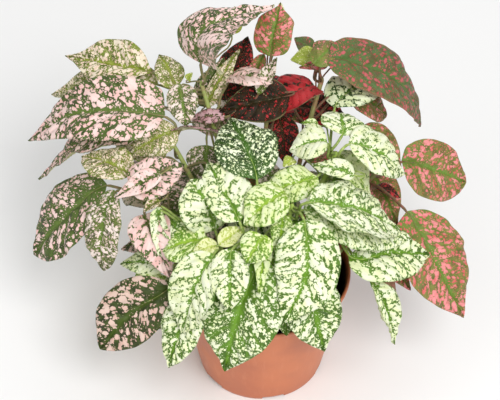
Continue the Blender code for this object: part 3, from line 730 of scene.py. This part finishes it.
leafChanges = {
    # rolls: how far the left and right margins roll up, or under when negative, in radians
    # rib: reach of the green round the midrib in mm; wave: share of the usual wave of the margin
    # left, right, both: factors on the half widths from base to tip
    # moved: how far the middle goes from the place of the solid's, from base to tip, in mm
    "pink_a_leaf_1": {"rolls": (0, 0.3), "left": (1, 1.05, 1.1), "right": (1.6, 1.9, 1.9, 1.5, 1.1)},
    "pink_a_leaf_3": {"rolls": (0, 1.2)},
    "pink_a_leaf_5": {"moved": ((0, 0, 0), (-1, 3, 3), (-3, 4, 4), (-5.6, 4.7, 4.7))},
    "pink_b_leaf_1": {"rolls": (-0.6, 0.8), "rib": 3.5},
    "pink_b_leaf_2": {"rolls": (1.2, 0)},
    "pink_c_leaf_2": {"rib": 7.5},
    "pink_c_leaf_4": {"rolls": (0.7, -0.5), "left": (1.4, 1.2, 0.75, 0.4, 0.3),
                      "right": (1.4, 1.2, 0.75, 0.5, 0.3), "moved": ((0, 0, 0), (2, -2, 3), (4, -4, 5))},
    "pink_c_leaf_5": {"rib": 6, "both": (0.9, 0.8)},
    "pink_c_leaf_6": {"rib": 6.5},
    "red_a_leaf_1": {"both": (1, 1, 0.95, 1, 1.4, 0.8, 0.3)},
    "red_a_leaf_2": {"rolls": (1, 0)},
    "red_b_leaf_2": {"moved": ((0, 0, 0), (0, 3, 3), (2, 4.5, 4.5), (3, 2.5, 2.5), (0, 0, 0)), "wave": 0.2},
    "red_b_leaf_3": {"rolls": (1.1, -0.8), "wave": 0.5},
    "red_c_leaf_2": {"rib": 3.4},
    "red_c_leaf_3": {"rib": 3.4, "right": (1, 1.05, 1, 0.8, 0.5)},
    "white_a_leaf_1": {"right": (1, 1.25, 1.25, 1.1), "moved": ((0, 0, 0), (6, -15, 15), (7, -19, 19))},
    "white_a_leaf_2": {"rolls": (1, 1)},
    "white_a_leaf_4": {"rolls": (0.5, 0.5)},
    "white_b_leaf_1": {"rib": 3.5},
    "white_b_leaf_2": {"left": (1, 0.78, 0.72, 0.8), "right": (1, 0.95, 0.9),
                       "moved": ((0, 0, 0), (0, 4, -4), (1, 5, -5))},
    "white_b_leaf_4": {"rib": 6.5, "both": (1.25, 1.05)},
    "white_c_leaf_2": {"rolls": (0, 0.8), "right": (1, 1.5, 1.6, 1.3, 1)},
    "white_c_leaf_4": {"rib": 4.5},
    "white_d_leaf_5": {"both": (1, 1.15, 1)},
    "white_d_leaf_6": {"rolls": (0.7, 0)},
    "white_d_leaf_7": {"rib": 4},
    "white_d_leaf_8": {"rolls": (0, 1.6)},
}

leafSheets = []    # a coarse copy of every blade, to keep later ones clear of it


def growLeaf(name, look, rows, line, seed, nodes=(), rolls=(0, 0), wave=1.0, rib=None, radius=0.85,
             cell=bladeShape["cell"]):
    # line is the petiole's middle line, from inside its stem to the blade
    family = name.split("_")[0]
    finish, coverage, spotSize = look
    body = Body()
    under, share = addBlade(body, rows, cell, np.random.default_rng(100 + seed), rolls, wave)
    addPetiole(body, line, under, share, radius)
    mesh = body.build(name, [upperMaterials[finish], underMaterials[finish], stemMaterials[family + "Stem"]])
    piece = placePiece(mesh, nodes)
    piece["coverage"] = float(coverage)
    piece["spotSize"] = float(spotSize)
    piece["seed"] = float(seed)
    piece["ribWidth"] = float(rib or leafFinishes[finish]["ribWidth"])
    leafSheets.append(rows)


for index, name in enumerate(leafNames):
    stem, number = name.split("_leaf_")
    change = {"left": (1, 1), "right": (1, 1), "moved": ((0, 0, 0), (0, 0, 0))} | leafChanges.get(name, {})
    if "both" in change:
        change["left"] = change["right"] = change.pop("both")
    root, rings, tip = readLeaf(name)
    line = np.concatenate([root[None] + (root - rings[1].mean(0))[None] * 0.4, rings[:4].mean(axis=1)])
    rows = trimRows(controlRows(rings[3:], tip), change.pop("left"), change.pop("right"))
    rows = rows + alongRows(change.pop("moved"), len(rows))[:, None, :]
    growLeaf(name + "_grown", leafLooks[stem][int(number) - 1], rows, line, index, [name], **change)
print("leaves grown")


# stems

stemShape = {
    "sides": 14,
    "rings": 60,
    "ridge": 0.05,
    "rootDepth": 5.0,    # mm that a stem goes on into the soil
    "foot": 1.15,        # thickness at the foot and at the top, for that of the solid's nearest ring
    "top": 0.6,
}

stemPaths = {}
for name in stemNames:
    family = name.split("_")[0]
    first, rings, last = readRings(name, 8)
    if first[2] > last[2]:
        first, rings, last = last, rings[::-1], first
    centres = rings.mean(axis=1)
    spread = np.linalg.norm(rings - centres[:, None], axis=2).mean(axis=1)
    foot = first + unit(first - centres[1]) * stemShape["rootDepth"]
    line = np.concatenate([foot[None], centres, last[None]])
    radii = np.concatenate([spread[:1] * stemShape["foot"], spread, spread[-1:] * stemShape["top"]])
    knots = alongLine(line)
    where = np.linspace(0, knots[-1], stemShape["rings"])
    path = splineThrough(knots, line, where)
    body = Body()
    addTube(body, path, np.interp(where, knots, radii), 0, stemShape["sides"], stemShape["ridge"])
    placePiece(body.build(name + "_grown", [stemMaterials[family + "Stem"]]), [name])
    stemPaths[name.removesuffix("_stem")] = path
print("stems grown")


# smaller leaves between and behind the named ones

smallLeaves = {
    # stem: leaves of (share of its length, look, neck, tip, width, settings for bladeRows and rolls),
    # where neck and tip are in mm from the stem at that share
    "pink_a": [
        (0.75, ("mauveShade", 0.62, 0.9), (7, -1, 10), (-16, 4, 4), 9, {"arch": 0.1}),
        (0.65, ("mauveShade", 0.6, 0.9), (4, -7, 14), (-32, -1, 12), 15,
         {"facing": (0, 0.75, 0.65), "arch": 0.1}),
        (0.4, ("pinkGrey", 0.34, 0.7), (-13, 10, 29), (-15, -5, 12), 23, {}),
        (0.97, ("youngLime", 0.15, 0.6), (17, 31, 15), (19, 37, 31), 11, {}),
        (0.6, ("pinkOlive", 0.5, 0.6), (-9, 19, 22), (11, 41, 48), 11, {"arch": 0.1, "rolls": (1.3, 1.3)}),
        (0.6, ("pinkBold", 0.34, 0.8), (-13, 22, 20), (2, 38, 44), 15, {}),
        (0.75, ("pinkOlive", 0.6, 0.7), (-19, 5, 2), (-33, 15, 5), 9, {"facing": (0, 0.6, 0.7)}),
        (0.99, ("youngLime", 0.3, 0.5), (-8, 0, 3), (-5, 1, 8), 5, {"fold": 0.6}),
    ],
    "pink_b": [
        (0.9, ("pinkOlive", 0.42, 0.42), (2, 3, 11), (-26, -4, -3), 22, {"arch": 0.14}),
    ],
    "pink_c": [
        (0.9, ("pinkOlive", 0.5, 0.7), (9, -17, 13), (-1, -21, 8), 10, {"fold": 0.9}),
        (0.97, ("pinkBold", 0.78, 1), (14, -9, 22), (-13, -17, 10), 13, {"fold": 0.3}),
        (0.5, ("pinkBold", 0.3, 0.8), (3, 19, 14), (-19, 10, 2), 22, {"arch": 0.14}),
        (0.4, ("pinkGrey", 0.25, 0.8), (-4, 8, 15), (-22, 16, 13), 20, {"arch": 0.14}),
    ],
    "red_a": [
        (0.6, ("redShade", 0.3, 0.8), (9, 20, 10), (13, -2, -10), 19, {}),
        (0.9, ("redOlive", 0.45, 0.8), (-2, 19, 15), (-11, 11, -5), 9, {"fold": 0.4}),
        (0.9, ("redShade", 0.04, 0.9), (13, -2, 1), (-29, -11, -5), 26,
         {"facing": (0, -0.55, 0.8), "arch": 0.08, "rolls": (0, 0.5)}),
        (0.98, ("youngLime", 0.7, 0.5), (7, 22, 26), (7, 29, 36), 6, {"arch": 0.05}),
        (0.97, ("pinkGrey", 0.6, 0.9), (-6, -15, 3), (5, 5, 14), 11, {"fold": 0.6, "rolls": (0, 0.8)}),
    ],
    "red_b": [
        (0.95, ("youngLime", 0.1, 0.5), (-1, 19, 7), (-17, 19, 5), 14, {"fold": 0.35}),
        (0.9, ("redGreen", 0.2, 0.7), (-2, 28, 12), (-13, 35, 16), 11, {}),
        (0.95, ("redOlive", 0.8, 0.8), (5, 10, 8), (-12, 13, 4), 6, {"arch": 0.12}),
        (0.99, ("redOlive", 0.05, 0.9), (-5, -1, 13), (10, 19, 12), 15, {"arch": 0.14, "fold": 0.05}),
    ],
    "red_c": [
        (0.8, ("redOlive", 0.3, 0.8), (0, 40, 14), (27, 13, 2), 27, {}),
        (0.6, ("redOlive", 0.3, 0.8), (19, 30, 6), (34, 0, -12), 22, {}),
        (0.4, ("redOlive", 0.5, 0.8), (31, -18, 4), (49, -33, -16), 15, {}),
        (0.35, ("redOlive", 0.4, 0.8), (29, -22, 9), (42, -36, -11), 14, {"facing": (-0.5, 0.6, 0.4)}),
    ],
    "white_a": [
        (0.6, ("cream", 0.82, 0.8), (-33, 1, -1), (-63, 13, -13), 15, {"arch": 0.15, "rolls": (0, 0.7)}),
        (0.45, ("lime", 0.7, 0.5), (-37, -4, 3), (-65, -8, -15), 11, {"arch": 0.2}),
        (0.4, ("lime", 0.5, 0.7), (-45, 7, 2), (-58, 0, -12), 11, {}),
        (0.8, ("cream", 0.55, 0.7), (-31, 16, 11), (-18, 2, 5), 17, {"rolls": (0, 0.6)}),
        (0.97, ("youngLime", 0.72, 0.45), (0, -2, 2), (-16, -7, -1), 11, {"fold": 0.5, "arch": 0.15}),
        (0.97, ("youngLime", 0.72, 0.45), (0, -4, 4), (15, 6, 8), 12, {"fold": 0.5, "arch": 0.12}),
    ],
    "white_b": [
        (0.95, ("lime", 0.75, 0.9), (5, -8, 4), (2, -33, -9), 10,
         {"fold": 0.1, "arch": 0.08, "rolls": (1.5, 1.5)}),
        (0.55, ("cream", 0.4, 0.9), (12, 3, 13), (17, -36, -16), 34, {"arch": 0.16}),
    ],
    "white_c": [
        (0.9, ("lime", 0.5, 0.6), (-4, -7, 7), (-7, -31, -5), 12, {"arch": 0.12}),
    ],
    "white_d": [
        (0.8, ("youngLime", 0.2, 0.6), (-18, 1, 15), (-24, -8, 17), 7, {"arch": 0.15}),
        (0.97, ("lime", 0.5, 0.5), (-9, 15, 9), (-19, 17, 10), 6, {"fold": 0.5, "arch": 0.3}),
        (0.9, ("cream", 0.8, 0.8), (13, -19, 10), (-11, -12, 11), 13, {"arch": 0.15, "rolls": (1.2, 0)}),
    ],
}

lowerLeaves = {
    # stem: leaves of (share of its length, compass angle in degrees, blade length, width, drop, look)
    "pink_a": [
        (0.2, 125, 44, 28, 0.5, ("pinkBold", 0.5, 1.2)), (0.35, 150, 36, 22, 0.3, ("pinkBold", 0.45, 1)),
        (0.55, 100, 42, 27, 0.35, ("pinkBold", 0.5, 1.1)), (0.72, 70, 30, 20, 0.2, ("pinkGrey", 0.45, 0.8)),
    ],
    "pink_b": [
        (0.4, 120, 40, 26, 0.45, ("pinkBold", 0.5, 1.1)), (0.7, 150, 36, 24, 0.2, ("pinkOlive", 0.45, 0.8)),
    ],
    "pink_c": [
        (0.35, 170, 34, 22, 0.5, ("pinkBold", 0.5, 1)), (0.55, 130, 42, 28, 0.5, ("pinkGrey", 0.5, 0.9)),
        (0.8, 110, 30, 20, 0.3, ("pinkBold", 0.45, 0.9)),
    ],
    "red_a": [
        (0.2, 80, 40, 26, 0.6, ("redOlive", 0.4, 1)), (0.35, 95, 40, 26, 0.55, ("redOlive", 0.35, 0.9)),
        (0.6, 75, 34, 22, 0.3, ("redShade", 0.4, 0.9)), (0.78, 110, 26, 18, 0.1, ("redOlive", 0.4, 0.9)),
    ],
    "red_b": [
        (0.22, 100, 40, 26, 0.5, ("redOlive", 0.35, 0.9)), (0.4, 60, 40, 27, 0.6, ("redOlive", 0.4, 1)),
        (0.62, 90, 30, 22, 0.4, ("redOlive", 0.3, 0.8)), (0.8, 35, 28, 18, 0.3, ("redShade", 0.4, 0.8)),
    ],
    "red_c": [
        (0.45, 70, 44, 28, 0.55, ("redOlive", 0.45, 1.1)), (0.7, 95, 32, 22, 0.35, ("redOlive", 0.35, 0.9)),
        (0.25, 20, 34, 22, 0.6, ("redShade", 0.4, 0.9)),
    ],
    "white_a": [
        (0.4, 175, 30, 20, 0.5, ("deepWhite", 0.45, 0.8)), (0.3, 230, 26, 18, 0.7, ("deepWhite", 0.4, 0.8)),
    ],
    "white_b": [
        (0.35, 265, 28, 20, 0.6, ("deepWhite", 0.4, 0.8)), (0.45, 95, 30, 20, 0.2, ("deepWhite", 0.45, 0.8)),
    ],
    "white_c": [
        (0.3, 320, 30, 20, 0.6, ("deepWhite", 0.4, 0.8)), (0.5, 20, 32, 22, 0.3, ("cream", 0.5, 0.8)),
    ],
    "white_d": [
        (0.2, 50, 40, 26, 0.4, ("cream", 0.6, 1)), (0.45, 75, 42, 28, 0.45, ("cream", 0.6, 0.9)),
        (0.7, 45, 34, 22, 0.35, ("lime", 0.6, 0.8)), (0.3, 110, 34, 22, 0.5, ("cream", 0.55, 0.9)),
    ],
}

leafKinds = {
    # wave of the margin, radius of the petiole, and mm between the points of the mesh
    "small": {"wave": 0.8, "radius": 0.7},
    "lower": {"radius": 0.75, "cell": 1.15},
    "fill": {"radius": 0.7, "cell": 1.2},
}
slenderLeaf = {"width": 16, "radius": 0.5}    # a small leaf under this width has this petiole
seeds = itertools.count(61)    # the leaves that have solids use smaller numbers


def stemPoint(stem, share):
    path = stemPaths[stem]
    return path[int(share * (len(path) - 1))]


def outwardLeaf(start, angle, reach, rise, length, width, drop, arch):
    # neck, tip and rows of a leaf that grows away from its stem and droops
    away = np.array((*onCircle(1, angle), 0))
    neck = start + away * reach + (0, 0, rise)
    tip = neck + unit(away - (0, 0, drop)) * length
    return neck, tip, bladeRows(neck, tip, width, away * 0.3 + (0, 0, 1), arch)


def growBetween(stem, kind, number, look, start, neck, tip, rows, **settings):
    # a leaf with no solid: its petiole goes from the middle of the stem out and up, and round into the blade
    span = np.linalg.norm(neck - start)
    leave = (unit(neck - start) + (0, 0, 0.5)) * span * 0.3
    settle = unit(tip - neck) * span * 0.22 - (0, 0, 0.06 * span)
    knots = np.array([start, start + leave, neck - settle, neck])
    line = splineThrough(np.linspace(0, 1, 4), knots, np.linspace(0, 1, 7))
    name = "%s_%s_%d" % (stem, kind, number)
    growLeaf(name, look, rows, line, next(seeds), **(leafKinds[kind] | settings))


for stem, leaves in smallLeaves.items():
    for number, (share, look, neck, tip, width, settings) in enumerate(leaves, 1):
        start = stemPoint(stem, share)
        neck, tip = start + neck, start + tip
        own = {"rolls": settings.pop("rolls", (0, 0))}
        if width < slenderLeaf["width"]:
            own["radius"] = slenderLeaf["radius"]
        rows = bladeRows(neck, tip, width, **settings)
        growBetween(stem, "small", number, look, start, neck, tip, rows, **own)
for stem, leaves in lowerLeaves.items():
    for number, (share, angle, length, width, drop, look) in enumerate(leaves, 1):
        start = stemPoint(stem, share)
        reach = 8 + length * 0.25
        shape = outwardLeaf(start, math.radians(angle), reach, 6, length, width, drop, 0.12)
        growBetween(stem, "lower", number, look, start, *shape)
print("smaller leaves grown")


# shaded leaves that fill the plant, kept clear of the others and behind them as seen from the front

fillPlan = {
    "seed": 11,
    "tries": 2600,
    "leaves": 34,
    "clearance": 2.2,        # mm
    "hidden": 0.9,           # share of each leaf that lies behind the others
    "front": (0.0, -0.7071, 0.7071),
    "overPot": (50, 78, 3),  # radius, least height inside it, and fall of that height for each mm outside it
    "lowest": 30,
    "sides": (-138, 122),
    "back": 118,
    "spotted": (0.35, 0.62),
    "spotSize": (0.7, 1.1),
}

fillRanges = {
    # drawn in this order for each try, in mm or as shares
    "share": (0.3, 0.95),        # of the stem's length
    "angle": (0.0, 2 * math.pi),
    "length": (24, 44),
    "drop": (0.0, 0.7),
    "reach": (8, 20),
    "rise": (2, 9),
    "broadness": (0.56, 0.7),    # width for the length
    "arch": (0.08, 0.16),
}

fillFinishes = {
    "pink": ("pinkBold", "pinkGrey", "pinkOlive"),
    "red": ("redOlive", "redShade"),
    "white": ("cream", "deepWhite", "lime"),
}


def sheetTree():
    points, faces = [], []
    for rows in leafSheets:
        faces += [tuple(len(points) + i for i in face) for face in stripFaces(len(rows), 7)]
        points += [tuple(p) for p in rows.reshape(-1, 3)]
    return BVHTree.FromPolygons(points, faces)


def hasRoom(points, tree):
    radius, least, fall = fillPlan["overPot"]
    left, right = fillPlan["sides"]
    for p in points:
        low = max(fillPlan["lowest"], least - fall * max(0.0, math.hypot(p.x, p.y) - radius))
        if p.z < low or p.y > fillPlan["back"] or not left <= p.x <= right:
            return False
        if tree.find_nearest(p)[3] < fillPlan["clearance"]:
            return False
    front = Vector(fillPlan["front"])
    covered = sum(tree.ray_cast(p + front * 0.5, front)[0] is not None for p in points)
    return covered >= fillPlan["hidden"] * len(points)


def fillIn():
    rng = random.Random(fillPlan["seed"])
    tree = sheetTree()
    made = 0
    for attempt in range(fillPlan["tries"]):
        stem = rng.choice(sorted(stemPaths))
        drawn = {key: rng.uniform(*limits) for key, limits in fillRanges.items()}
        finish = rng.choice(fillFinishes[stem.split("_")[0]])
        look = (finish, rng.uniform(*fillPlan["spotted"]), rng.uniform(*fillPlan["spotSize"]))
        start = stemPoint(stem, drawn.pop("share"))
        width = drawn["length"] * drawn.pop("broadness")
        shape = outwardLeaf(start, width=width, **drawn)
        if not hasRoom([Vector(p) for p in shape[2][::2].reshape(-1, 3)], tree):
            continue
        made += 1
        growBetween(stem, "fill", made, look, start, *shape)
        tree = sheetTree()
        if made == fillPlan["leaves"]:
            break
    print("leaves filled in:", made, "after", attempt + 1, "tries")


fillIn()


# soil

soilShape = {
    "rings": 60,
    "around": 220,
    "roughness": 0.9,    # mm
    "seed": 7,
    "crumbs": 420,
    "crumbSize": (0.5, 1.9),
}


def makeSoilMaterial():
    material, tree, shader = newMaterial("dampPeat", 0.2)
    place = objectPlace(tree)
    grains = noiseAt(place, 900.0, 4.0, 0.65)
    clods = noiseAt(place, 160.0, 3.0, 0.6)
    colour = mixColour(ramp(clods, 0.35, 0.65), (0.008, 0.005, 0.004), (0.03, 0.019, 0.013))
    colour = mixColour(ramp(grains, 0.6, 0.75, 0.0, 0.8), colour, (0.085, 0.05, 0.03))
    height = timesPlus(cellsAt(place, 700.0), 0.5, grains)
    setSurface(shader, colour, ramp(grains, 0.3, 0.7, 0.8, 0.98), height, 0.8, 0.0006)
    return material


def meshFrom(shape, name):
    mesh = bpy.data.meshes.new(name)
    shape.to_mesh(mesh)
    shape.free()
    return mesh


def growSoil():
    low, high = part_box("soil")
    source = frame["nodes"]["soil"].data
    corners = [tuple(v.co) for v in source.vertices]
    tree = BVHTree.FromPolygons(corners, [tuple(p.vertices) for p in source.polygons])
    edge = max(math.hypot(x, y) for x, y, z in corners if z > high.z - 0.006)        # radius of the top
    floorEdge = max(math.hypot(x, y) for x, y, z in corners if z < low.z + 0.001)    # and of the underside
    rings, around = soilShape["rings"], soilShape["around"]
    shape = bmesh.new()

    def surface(x, y):
        # read a little inwards, where a ray by the wall still meets the top
        hit = tree.ray_cast(Vector((x * 0.985, y * 0.985, high.z + 0.01)), Vector((0, 0, -1)))[0]
        return hit.z if hit is not None else high.z - 0.003

    def roughPoint(radius, step):
        x, y = onCircle(radius, 2 * math.pi * step / around)
        rough = noise.fractal(Vector((x, y, 0)) * 260, 1.0, 2.0, 4) * soilShape["roughness"] * mm
        return shape.verts.new((x, y, surface(x, y) + rough))

    middle = roughPoint(0, 0)
    rows = []
    for ring in range(1, rings + 1):
        rows.append([roughPoint(edge * ring / rings, step) for step in range(around)])
    narrow = floorEdge / edge
    rows.append([shape.verts.new((v.co.x * narrow, v.co.y * narrow, low.z + 0.0005)) for v in rows[-1]])
    for step in range(around):
        following = (step + 1) % around
        shape.faces.new((middle, rows[0][step], rows[0][following]))
        for inner, outer in zip(rows, rows[1:]):
            shape.faces.new((inner[step], outer[step], outer[following], inner[following]))
    shape.faces.new(rows[-1][::-1])
    rng = random.Random(soilShape["seed"])
    for crumb in range(soilShape["crumbs"]):
        x, y = onCircle(edge * math.sqrt(rng.random()) * 0.97, rng.random() * 2 * math.pi)
        size = rng.uniform(*soilShape["crumbSize"]) * mm * rng.random() ** 0.5
        flat = Vector((rng.uniform(0.7, 1.3), rng.uniform(0.7, 1.3), rng.uniform(0.5, 0.9)))
        place = Vector((x, y, surface(x, y) + size * 0.2))
        for v in bmesh.ops.create_icosphere(shape, subdivisions=1, radius=size)["verts"]:
            lumpy = 1 + 0.35 * noise.noise(v.co * 1500 + Vector((crumb, 0, 0)))
            v.co = place + v.co * flat * lumpy
    shape.normal_update()
    mesh = meshFrom(shape, "soil_crumbly")
    mesh.shade_smooth()
    mesh.materials.append(makeSoilMaterial())
    placePiece(mesh, ["soil"])


growSoil()
print("soil laid")


# pot

potShape = {
    "around": 192,
    "wall": 1.2,            # mm
    "rimDepth": 3.0,
    "rimProud": 0.7,
    "footRise": 2.0,        # height of the notches in the foot, and of the hollow inside it
    "floor": 1.4,           # thickness
    "middleFoot": 12.0,     # radius of the round foot under the middle
    "holes": (22.0, 3.5),   # radius of their circle and of each
}

potColours = {
    "main": (0.62, 0.2, 0.09),
    "faded": (0.7, 0.28, 0.15),
    # dark is the darker tone of the clouds, and also the painted shade near the bottom
    "dark": (0.5, 0.145, 0.065),
    "innerWallDark": (0.03, 0.018, 0.012),    # nearly black, on the inner wall up to about 80 mm
}


def makeWearGroup():
    # rubbed edges: strong near sharp convex edges, broken up by noise
    tree, given, out = newGroup("Rubbed edges", {"Scale": 400.0, "Amount": 0.5}, ("Wear",))
    pointed = addNode(tree, "ShaderNodeNewGeometry").outputs["Pointiness"]
    broken = noiseAt(objectPlace(tree), given["Scale"], 4.0, 0.65)
    edge = times(ramp(pointed, 0.5, 0.58), ramp(broken, 0.4, 0.6))
    feed(out["Wear"], times(edge, given["Amount"]))
    return tree


def makePotMaterial():
    material, tree, shader = newMaterial("terracottaPlastic", 0.4)
    place = objectPlace(tree)
    height = splitXyz(place)["Z"]
    cloud = noiseAt(place, 28.0, 3.0, 0.55)
    streaks = noiseAt(vectorMaths("MULTIPLY", place, (1.0, 1.0, 0.15)), 260.0, 3.0, 0.6)
    colour = mixColour(ramp(cloud, 0.3, 0.7), potColours["dark"], potColours["main"])
    colour = mixColour(ramp(streaks, 0.5, 0.8, 0.0, 0.35), colour, potColours["faded"])
    # painted shade: the wall turns darker towards the floor, fading out 20 mm up
    colour = mixColour(ramp(height, 0.0, 0.02, 0.3, 0.0), colour, potColours["dark"])
    normal = addNode(tree, "ShaderNodeNewGeometry").outputs["Normal"]
    outward = vectorMaths("MULTIPLY", place, (1.0, 1.0, 0.0))
    # the inward-facing wall is made nearly black up to about 80 mm, with a ragged top edge
    inside = ramp(vectorMaths("DOT_PRODUCT", outward, normal, output="Value"), -0.02, -0.005, 1.0, 0.0)
    lowDown = ramp(timesPlus(noiseAt(place, 160.0, 4.0, 0.65), 0.012, height), 0.076, 0.084, 1.0, 0.0)
    colour = mixColour(times(inside, lowDown), colour, potColours["innerWallDark"])
    wear = useGroup(tree, makeWearGroup(), {"Amount": 0.45})["Wear"]
    colour = mixColour(wear, colour, potColours["faded"])
    setSurface(shader, colour, ramp(cloud, 0.3, 0.7, 0.36, 0.5), noiseAt(place, 1600.0), 0.12, 0.0002)
    return material


def potProfile(topRadius, baseRadius, height):
    # radii and heights: over the floor, up the inside, round the rim, down the outside and back underneath
    wall, rise, floor, middle = (potShape[key] for key in ("wall", "footRise", "floor", "middleFoot"))
    inner = topRadius - wall
    rimLow = height - potShape["rimDepth"]

    def outer(z):
        return baseRadius + (topRadius - potShape["rimProud"] - baseRadius) * z / height

    foot = outer(0)
    return [
        (0.0, rise + floor), (outer(rise) - wall - 1.0, rise + floor),
        (outer(rise + 2.5) - wall, rise + 2.5),
        *((outer(z) - wall, z) for z in np.linspace(8, rimLow - 1, 12)),
        (inner - 0.7, rimLow + 1.2), (inner - 0.3, height - 0.5), (inner, height - 0.1),
        (inner + 0.35, height), (topRadius - 0.35, height), (topRadius, height - 0.35),
        (topRadius, rimLow + 0.9), (topRadius - 0.2, rimLow + 0.35), (outer(rimLow) + 0.12, rimLow),
        *((outer(z), z) for z in np.linspace(rimLow - 1.5, 3.2, 14)),
        (outer(2.4), 2.4), (outer(0.5), 0.5), (foot - 0.5, 0.0), (foot - 1.9, 0.0), (foot - 2.4, 0.6),
        (foot - 2.6, rise), (middle + 0.8, rise), (middle, 0.0), (0.0, 0.0)]


def cutHoles(solid, angles):
    # drain holes through the raised floor, one in line with each notch of the foot
    circle, radius = (value * mm for value in potShape["holes"])
    shape = bmesh.new()
    for angle in angles:
        place = Matrix.Translation((*onCircle(circle, math.radians(angle)), 0.003))
        bmesh.ops.create_cone(shape, cap_ends=True, segments=28, radius1=radius, radius2=radius, depth=0.008,
                              matrix=place)
    cutter = addObject("cutters", meshFrom(shape, "cutters"))
    blank = addObject("uncut", solid)
    cut = blank.modifiers.new("holes", "BOOLEAN")
    cut.operation = "DIFFERENCE"
    cut.solver = "EXACT"
    cut.object = cutter
    made = bpy.data.meshes.new_from_object(blank.evaluated_get(bpy.context.evaluated_depsgraph_get()))
    bpy.data.objects.remove(cutter)
    bpy.data.objects.remove(blank)
    return made


def growPot():
    low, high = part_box("pot")
    source = [v.co for v in frame["nodes"]["pot"].data.vertices]
    baseRadius = max(math.hypot(co.x, co.y) for co in source if co.z < 0.0012) / mm
    profile = potProfile((high.x - low.x) / 2 / mm, baseRadius, high.z / mm)
    # the notches are the gaps between the solid's points on the ground
    feet = [co for co in source if co.z < 0.0003 and math.hypot(co.x, co.y) > 0.9 * baseRadius * mm]
    taken = sorted(math.degrees(math.atan2(co.y, co.x)) % 360 for co in feet)
    gaps = [(a, b) for a, b in zip(taken, taken[1:] + [taken[0] + 360]) if b - a > 12]
    angles = [360 * i / potShape["around"] for i in range(potShape["around"])]
    for a, b in gaps:
        near = sorted(angles, key=lambda x: min(abs(x - a % 360), abs(x - b % 360)))[:2]
        angles = [x for x in angles if x not in near]
        angles += [x % 360 for x in (a - 0.4, a + 0.2, b - 0.2, b + 0.4)]
    shape = bmesh.new()
    columns = []
    for angle in sorted(set(round(x, 3) for x in angles)):
        notched = any(a < angle < b or a < angle + 360 < b for a, b in gaps)
        column = []
        for radius, z in profile:
            if notched and radius > potShape["middleFoot"]:
                z = max(z, potShape["footRise"])
            x, y = onCircle(radius * mm, math.radians(angle))
            column.append(shape.verts.new((x, y, z * mm)))
        columns.append(column)
    for one, other in zip(columns, columns[1:] + columns[:1]):
        for i in range(len(profile) - 1):
            shape.faces.new((one[i], other[i], other[i + 1], one[i + 1]))
    bmesh.ops.remove_doubles(shape, verts=shape.verts, dist=1e-6)
    bmesh.ops.dissolve_degenerate(shape, dist=1e-7, edges=shape.edges)
    bmesh.ops.recalc_face_normals(shape, faces=shape.faces)
    mesh = cutHoles(meshFrom(shape, "uncut"), [(a + b) / 2 for a, b in gaps])
    mesh.name = "pot_moulded"
    mesh.shade_smooth()
    mesh.set_sharp_from_angle(angle=math.radians(50))
    mesh.materials.clear()
    mesh.materials.append(makePotMaterial())
    placePiece(mesh, ["pot"])


growPot()
print("pot moulded")


# floor, light and camera

def makeFloor(reach):
    material, tree, shader = newMaterial("paleFloor", 0.1)
    shader.inputs["Roughness"].default_value = 0.85
    colour = mixColour(noiseAt(objectPlace(tree), 3.0), (0.86, 0.86, 0.855), (0.9, 0.9, 0.895))
    feed(shader.inputs["Base Color"], colour)
    mesh = bpy.data.meshes.new("floor")
    corners = [(-reach, -reach, 0), (reach, -reach, 0), (reach, reach, 0), (-reach, reach, 0)]
    mesh.from_pydata(corners, [], [(0, 1, 2, 3)])
    mesh.materials.append(material)
    addObject("floor", mesh)


lights = {
    # name: (place in m, size in m, power in W)
    "key": ((0.42, -0.8, 1.2), 0.8, 15.0),
    "fill": ((-0.9, -0.6, 0.8), 1.0, 2.8),
    "back": ((0.1, 0.95, 0.9), 0.9, 3.0),
}
lightAim = (0, 0.02, 0.12)


def placeAndAim(name, data, place, aim):
    thing = addObject(name, data)
    thing.location = place
    thing.rotation_euler = (Vector(aim) - Vector(place)).to_track_quat("-Z", "Y").to_euler()
    return thing


def makeLights():
    for name, (place, size, power) in lights.items():
        light = bpy.data.lights.new(name, "AREA")
        light.shape = "DISK"
        light.size = size
        light.energy = power
        placeAndAim(name, light, place, lightAim)
    world = bpy.data.worlds.new("softStudio")
    world.use_nodes = True
    backdrop = world.node_tree.nodes["Background"]
    backdrop.inputs["Color"].default_value = (1.0, 1.0, 1.0, 1.0)
    backdrop.inputs["Strength"].default_value = 0.5
    bpy.context.scene.world = world
    bpy.context.scene.view_settings.view_transform = "Standard"


cameraPlan = {
    "aim": (-0.007, 0.0282, 0.1062),
    "distance": 0.9,
    "elevation": 45.0,
    "lens": 108.8,
}


def makeCamera():
    camera = bpy.data.cameras.new("camera")
    camera.lens = cameraPlan["lens"]
    camera.sensor_width = 36.0
    tilt = math.radians(cameraPlan["elevation"])
    back = Vector((0, -math.cos(tilt), math.sin(tilt))) * cameraPlan["distance"]
    place = Vector(cameraPlan["aim"]) + back
    bpy.context.scene.camera = placeAndAim("camera", camera, place, cameraPlan["aim"])


makeFloor(6.0)
makeLights()
makeCamera()
print("floor, lights and camera set")

total = 0
for piece in bpy.data.objects:
    if piece.type == "MESH" and piece.visible_get():
        total += sum(len(p.vertices) - 2 for p in piece.data.polygons)
print("triangles shown:", total)
